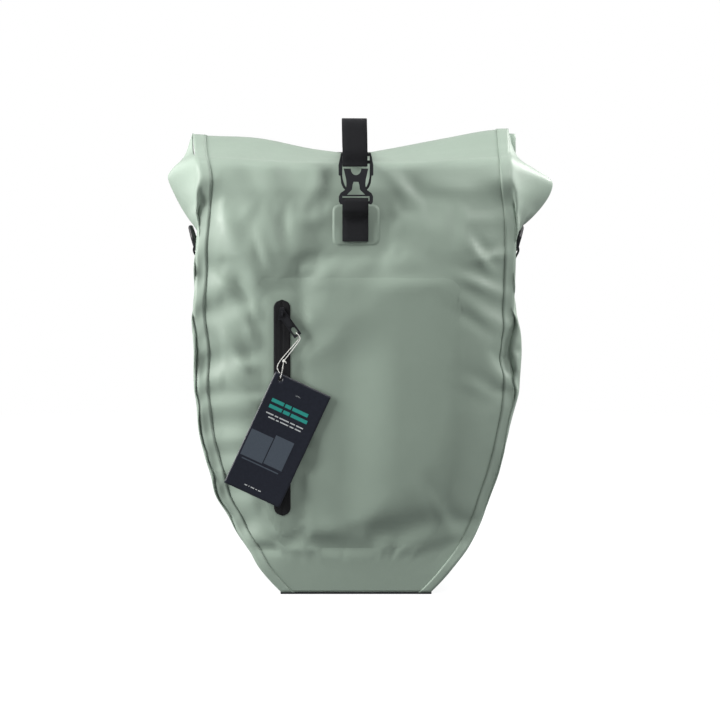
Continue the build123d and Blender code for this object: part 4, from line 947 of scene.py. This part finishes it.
def tail():
    """Adjustable end: through the buckle's bars and up to a standing loop."""
    points = [(-1, 4.4, 77.6), (-1, 4.3, 68.1), (-1, 3.2, 63.7), (-1, 0, 63.2), (-1, -3.1, 63.7),
              (-1, -3.3, 67.1), (-1, -4.9, 73.6), (-1, -5.2, 80), (-1.2, -3.4, 94), (-1.5, -1.5, 105),
              (-1.6, 1.2, 109.6), (-1.7, 4.6, 109.4), (-1.7, 6.4, 105), (-1.5, 5.6, 94), (-1.2, 1.4, 82)]
    path = [(x, BUCKLE_Y + dy, z) for x, dy, z in points]
    strap("tail_webbing", "strap_tail", path, 1.35, 1.6, body="buckle")


def anchor_loop():
    """Webbing welded to the patch and looped round the socket's bar."""
    f, b = FRONT_Y, BUCKLE_Y
    points = [(f - 1.9, -11.9), (f - 1.9, 14), (b + 4.0, 27), (b + 3.0, 30.2), (b, 30.9),
              (b - 3.0, 30.2), (b - 3.6, 26.5), (b - 2.4, 18), (f - 3.7, 10), (f - 3.5, -11.9)]
    strap("anchor_webbing", "anchor_strap", [(-0.6, y, z) for y, z in points], 1.4, 1.8, STRAP_WIDTH + 1)


def ring_tabs():
    """Webbing tabs folded over the side rings. Points are (out from the side, z)."""
    points = [(0.4, -53), (0.9, -30), (1.2, -22), (1.8, -17.8), (4.2, -16.8), (7.0, -18.2), (7.2, -23),
              (3.0, -33), (2.2, -53)]
    for name, sign in SIDES:
        path = [(sign * (SIDE_X + out), MID_Y, z) for out, z in points]
        strap(f"ring_webbing_{name}", f"ring_tab_{name}", path, 1.3, 1.6, 15.5, Y_AXIS)


closure()
tail()
anchor_loop()
ring_tabs()


# ---- handle and grip
def handle():
    """Flat rubber band that twists from its feet into an arch."""
    lean, twist_most = np.radians(8.0), np.radians(54)
    foot_y, foot_z, rise = -16.5, -31.95, 106.95
    half, thick_half, edge_cut, crown = 7.0, 2.0, 0.7, 0.6
    side = [(-29, 0), (-29.4, 0.1), (-31, 0.46), (-23, 0.82)]  # x, and the share of the rise
    arch = side + [(0, 0.98)] + [(-x, k) for x, k in side[::-1]]
    path = [(x, foot_y + k * rise * np.sin(lean), foot_z + k * rise * np.cos(lean)) for x, k in arch]
    line, marks = resample(path, 3.0)
    normal = np.array([0, np.cos(lean), -np.sin(lean)])
    shares = np.linspace(-1, 1, 9)
    depth = np.where(np.abs(shares) == 1, thick_half - edge_cut, thick_half)
    section = list(zip(shares * half, -depth))
    section += list(zip(-shares * half, depth - crown * (1 - shares ** 2)))
    verts = []
    for p, t, mark in zip(line, tangents(line), marks):
        part = min(mark, marks[-1] - mark) / marks[-1]
        twist = twist_most * np.clip((part - 0.12) / 0.3, 0.0, 1.0) ** 1.1
        wide = np.cross(t, normal) * np.cos(twist) + normal * np.sin(twist)
        thin = np.cross(t, wide)
        to_top = smooth(part / 0.3)
        verts += [p + wide * a * (1 - 0.2 * to_top) + thin * b * (1.1 + 0.35 * to_top) for a, b in section]
    faces = tube_faces(len(line), len(section))
    obj = make("handle_band", verts, faces, "rubber_handle", "handle")
    modify(obj, "SUBSURF", "round", levels=1, render_levels=1)
    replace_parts(obj, "carry_handle")


GRIP_TILT = np.radians(7.0)
GRIP_CENTRE = middle("release_grip") + np.array([-4.0, 0.0, 0.0])
GRIP_HALF = 52.0  # half its length
NOTCH_HALF = 1.3


def grip_point(x, y, z):
    """From the tilted grip's own axes to the bag's."""
    c, s = np.cos(GRIP_TILT), np.sin(GRIP_TILT)
    return GRIP_CENTRE + np.array([x * c + z * s, y, -x * s + z * c])


def squircle(angle):
    """Point of a rounded square at an angle."""
    point = np.array([np.cos(angle), np.sin(angle)])
    return np.sign(point) * np.abs(point) ** 0.75


def grip_stations(notches):
    """x of the grip's rings: its ends and both walls of each notch."""
    wall = NOTCH_HALF + 0.05
    walls = [x + d for x in notches for d in (-wall, -NOTCH_HALF, NOTCH_HALF, wall)]
    ends = [-GRIP_HALF, 0.8 - GRIP_HALF, GRIP_HALF - 0.8, GRIP_HALF]
    return sorted({round(x, 3) for x in ends + walls if abs(x) <= GRIP_HALF})


def grip():
    """Hollow rubber sleeve with castellated edges and flared mouths."""
    cols, notch_depth_z = 28, 5.4
    top_notches, low_notches = ([first + 10.2 * k for k in range(9)] for first in (-43, -40))
    stations = grip_stations(top_notches + low_notches)
    outer, inner = [], []
    for s in stations:
        size = 1 + 0.07 * np.cos(s / GRIP_HALF * np.pi / 2) + 0.03 * np.sin(s * 0.61)
        if abs(s) == GRIP_HALF:
            size *= 0.86
        high = notch_depth_z if any(abs(s - x) < NOTCH_HALF + 0.02 for x in top_notches) else np.inf
        low = -notch_depth_z if any(abs(s - x) < NOTCH_HALF + 0.02 for x in low_notches) else -np.inf
        flare = 0.9 * smooth((abs(s) - GRIP_HALF + 8) / 6)
        for c in range(cols):
            y, z = squircle(2 * np.pi * c / cols)
            outer.append(grip_point(s, 5.3 * y * size, np.clip(7.2 * z * size, low, high)))
            inner.append(grip_point(s, (2.7 + flare) * y, (4.8 + flare) * z))
    count = len(outer)
    faces = grid_faces(len(stations), cols, True)
    faces += [tuple(count + i for i in face[::-1]) for face in faces]
    for first in (0, count - cols):
        for c in range(cols):
            d = (c + 1) % cols
            mouth = (first + c, count + first + c, count + first + d, first + d)
            faces.append(mouth if first else mouth[::-1])
    obj = make("grip_sleeve", outer + inner, faces, "rubber", "grip")
    modify(obj, "BEVEL", "soft", width=0.35 * MM, segments=2, limit_method="ANGLE", angle_limit=0.6)
    modify(obj, "EDGE_SPLIT", "crisp", split_angle=0.7)
    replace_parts(obj, "release_grip")


def pull_strap(name, sign, top):
    """Release webbing: out of the hook, folded over, twisting into the grip."""
    x = middle(f"hook_{name}")[0]
    mouth_x, _, mouth_z = grip_point(sign * GRIP_HALF, 0, 0)
    knee = max(abs(x) - 12, abs(mouth_x) + 17.5) * sign
    fold = [(0, 14.0, 9.0), (0, 14.8, 14.5), (0, 16.4, top - 3.4), (0.5, 17.8, top - 0.6),
            (1, 19.6, top + 0.2), (0, 21.8, top - 0.6), (-1, 23.0, top - 5),
            (-2.5, 23.9, lerp(top, mouth_z, 0.36))]
    path = [(x + sign * out, y, z) for out, y, z in fold]
    path += [(lerp(x, knee, 0.62), 24.0, lerp(top, mouth_z, 0.62)), (knee, 23.5, lerp(top, mouth_z, 0.86))]
    inside = ((67, 0.6), (60, 0.4), (52, 0), (30, 0))
    path += [grip_point(sign * reach, 0, lift * sign) for reach, lift in inside]
    flat_up = (sign * np.sin(GRIP_TILT), 0, sign * np.cos(GRIP_TILT))
    twist = [(0.96, 0.05, 0.28 * sign), (0.85, 0.12, 0.5 * sign), (0.55, 0.12, 0.8 * sign)]
    across = [X_AXIS] * 7 + twist + [flat_up] * 4
    widths = [12, 13.2, 18, 20, 20, 20, 19.5, 18.5, 16.5, 11.0, 7.0, 5.8, 5.2, 5.2]
    strap = ribbon(f"pull_webbing_{name}", path, across, widths, 1.3, "webbing_soft", None, 1.8)
    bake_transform(strap)
    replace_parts(strap, f"pull_strap_{name}", f"latch_strap_{name}")


handle()
grip()
pull_strap("right", 1, 24.2)
pull_strap("left", -1, 20.5)


# ---- hang tag
TAG_TILT = np.radians(25.0)
TAG_WIDTH, TAG_HEIGHT = 61.0, 123.0
TAG_LEFT, TAG_TOP = -7.5, 5.0  # the card's left and top edge, from its hole
TAG_HOLE = np.array([-75.5, middle("hang_tag")[1], -149.0])
HOLE_RADIUS = 2.0
PULLER_TILT = np.radians(36.0)
SLIDER_Z = middle("zip_slider")[2]
PULLER_REACH = 26.35  # from the slider to the rim of the puller's eye


def on_card(x, z, lift=0.0):
    """A point of the hanging card: x to the right and z up from its hole."""
    curl = 1.8 * ((x - TAG_LEFT) / TAG_WIDTH - 0.5) ** 2 + 1.6 * (max(-z, 0) / TAG_HEIGHT) ** 2
    right, up = (np.cos(TAG_TILT), 0, -np.sin(TAG_TILT)), (np.sin(TAG_TILT), 0, np.cos(TAG_TILT))
    return TAG_HOLE + np.array(right) * x + np.array(up) * z + np.array([0, -curl - lift, 0])


def tag_card():
    """Card with a slight curl and a punched hole."""
    cols, rows = 32, 50
    verts = [on_card(TAG_LEFT + TAG_WIDTH * c / cols, TAG_TOP - TAG_HEIGHT * r / rows)
             for r in range(rows + 1) for c in range(cols + 1)]
    obj = make("tag_card", verts, grid_faces(rows + 1, cols + 1), "card", "tag")

    def punch(bm):
        hole = Vector(TAG_HOLE)
        gone = [f for f in bm.faces if (f.calc_center_median() / MM - hole).length < HOLE_RADIUS]
        bmesh.ops.delete(bm, geom=gone, context="FACES")
        bmesh.ops.recalc_face_normals(bm, faces=bm.faces)

    edit_mesh(obj, punch)
    modify(obj, "SOLIDIFY", "card", thickness=0.5 * MM, offset=0.0)
    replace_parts(obj, "hang_tag")


def words(x, z, width, height, count):
    """A line of print as bars of uneven length."""
    share = np.array([1.0, 0.55, 1.25, 0.7, 0.95][:count])
    starts = np.concatenate([[0], np.cumsum(share)]) / share.sum() * width
    return [(x + a, z, b - a - 1.4, height) for a, b in zip(starts, starts[1:])]


def tag_print(ink_name, bars):
    """Print as bars of (left, top, width, height), in steps that follow the curl."""
    steps, print_lift = 4, 0.42
    verts, faces = [], []
    for x, z, width, height in bars:
        faces += [tuple(len(verts) + 2 * a + i for i in (0, 1, 3, 2)) for a in range(steps)]
        verts += [on_card(x + width * a / steps, z - height * b, print_lift)
                  for a in range(steps + 1) for b in range(2)]
    obj = make(f"tag_print_{ink_name}", verts, faces, ink_name, "tag")
    outward(obj, (TAG_HOLE[0], 0, TAG_HOLE[2]))


def near(point, *moves):
    return [point + np.array(move) for move in moves]


def tag_cord():
    """Cord from the card's hole round the rim of the puller's eye and back, with a knot."""
    rim_way = np.array([np.sin(PULLER_TILT), 0, -np.cos(PULLER_TILT)])
    rim = np.array([ZIP_X, -190.7, SLIDER_Z]) + PULLER_REACH * rim_way
    hole = TAG_HOLE

    def by_rim(across, up, y):
        return rim + across * np.array([-rim_way[2], 0, rim_way[0]]) - up * rim_way + np.array([0, y, 0])

    knot = np.array([hole[0] + 3.4, rim[1] - 2.0, (rim[2] + hole[2]) / 2 - 4])
    round_hole = near(hole, (1.4, -1.9, 6), (0.1, -0.9, 1.4), (0, 0.6, 1.0), (-0.6, 1.4, 5))
    up_behind = [(hole[0] - 2.2, rim[1] + 1.9, knot[2] - 3)] + near(rim, (-0.4, 1.95, -6))
    round_rim = [by_rim(*spot) for spot in ((0.4, -1.2, 1.95), (0.5, 0.6, 1.95), (0.5, 2.3, 1.0),
                                            (0.5, 2.3, -1.0), (0.7, 0.6, -1.95), (0.9, -1.2, -1.95))]
    loop = [knot] + round_hole + up_behind + round_rim + near(rim, (1.7, -1.95, -6)) + [knot]
    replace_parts(cord("tag_cord", loop, 0.45, 10, 0.8), "tag_string")
    turns = near(knot, (-0.9, 0, 1.3), (0.9, -0.6, 0.6), (0.6, -0.7, -0.9), (-0.9, -0.2, -0.7),
                 (-0.5, 0.5, 0.9), (1.1, 0.3, 0.1), (2.6, -0.6, -2.4))
    cord("tag_cord_knot", turns, 0.5, 8, 0.5)


tag_card()
tag_print("teal", words(1, -20.5, 41, 3.6, 3) + words(1, -27.0, 43, 3.6, 3))
tag_print("white", words(1, -35.5, 42, 1.2, 5) + words(5, -39.0, 37, 1.2, 5) + words(12, -110.5, 19, 1.0, 5)
          + words(21, -8.5, 7, 1.0, 5))
tag_print("slate", [(-5, -57, 24, 28), (20, -53, 20, 31), (-2, -87, 40, 1.2)])
tag_cord()


# ---- stage
def studio_world():
    """White for the camera, and a softer light from all round."""
    world = bpy.data.worlds.new("studio")
    bpy.context.scene.world = world
    world.use_nodes = True
    nodes, link = world.node_tree.nodes, world.node_tree.links.new
    seen, lit = nodes["Background"], nodes.new("ShaderNodeBackground")
    for light, colour, strength in ((seen, (1.0, 1.0, 1.0, 1.0), 1.0), (lit, (1.0, 0.99, 0.97, 1.0), 0.25)):
        light.inputs[0].default_value = colour
        light.inputs[1].default_value = strength
    mix = nodes.new("ShaderNodeMixShader")
    link(nodes.new("ShaderNodeLightPath").outputs["Is Camera Ray"], mix.inputs[0])
    link(lit.outputs[0], mix.inputs[1])
    link(seen.outputs[0], mix.inputs[2])
    link(mix.outputs[0], nodes["World Output"].inputs[0])


def place(name, data, spot, target):
    """Adds a light or camera that looks at its target, in metres."""
    obj = bpy.data.objects.new(name, data)
    obj.location = Vector(spot)
    obj.rotation_euler = (Vector(target) - obj.location).to_track_quat("-Z", "Y").to_euler()
    bpy.context.scene.collection.objects.link(obj)
    return obj


def soft_light(name, spot, target, size, power, tint):
    light = bpy.data.lights.new(name, "AREA")
    light.shape = "RECTANGLE"
    light.size, light.size_y = size
    light.energy = power
    light.color = tint
    place(name, light, spot, target)


def stage():
    """Pale flat floor, soft studio light and the camera."""
    floor_z, reach, lines = BOTTOM_Z - 2.6, 9000, 13
    steps = np.linspace(-reach, reach, lines)
    verts = [(x, y, floor_z) for y in steps for x in steps]
    make("floor", verts, grid_faces(lines, lines), "floor", None)
    studio_world()

    bag = (0, -0.1, -0.1)
    warm, pale, white = (1.0, 0.99, 0.97), (1.0, 0.99, 0.98), (1, 1, 1)
    soft_light("key", (-1.2, -0.46, 0.54), bag, (0.6, 0.7), 19, warm)
    soft_light("front", (0.62, -0.72, 0.9), (0.1, -0.15, 0.03), (0.4, 0.35), 6, pale)
    soft_light("left_edge", (-1.3, -0.55, 0.1), (-0.17, -0.12, -0.05), (0.4, 0.6), 8, pale)
    soft_light("side", (1.25, -0.25, 0.5), (0.12, -0.1, 0.05), (0.5, 0.6), 8, pale)
    soft_light("back_key", (1.0, 0.75, 0.75), bag, (0.6, 0.7), 14, warm)
    soft_light("back_fill", (-1.3, 1.2, 0.5), bag, (1.0, 1.2), 6, pale)
    soft_light("top", (0, -0.12, 1.0), bag, (0.7, 0.5), 1.6, white)

    camera = bpy.data.cameras.new("camera")
    camera.lens = 128
    aim = Vector((0.004, -0.1, -0.135))
    elevation, distance = np.radians(3.0), 2.65
    spot = aim + Vector((0, -np.cos(elevation), np.sin(elevation))) * distance
    scene = bpy.context.scene
    scene.camera = place("camera", camera, spot, aim)
    scene.view_settings.view_transform = "Standard"
    scene.view_settings.look = "None"


stage()
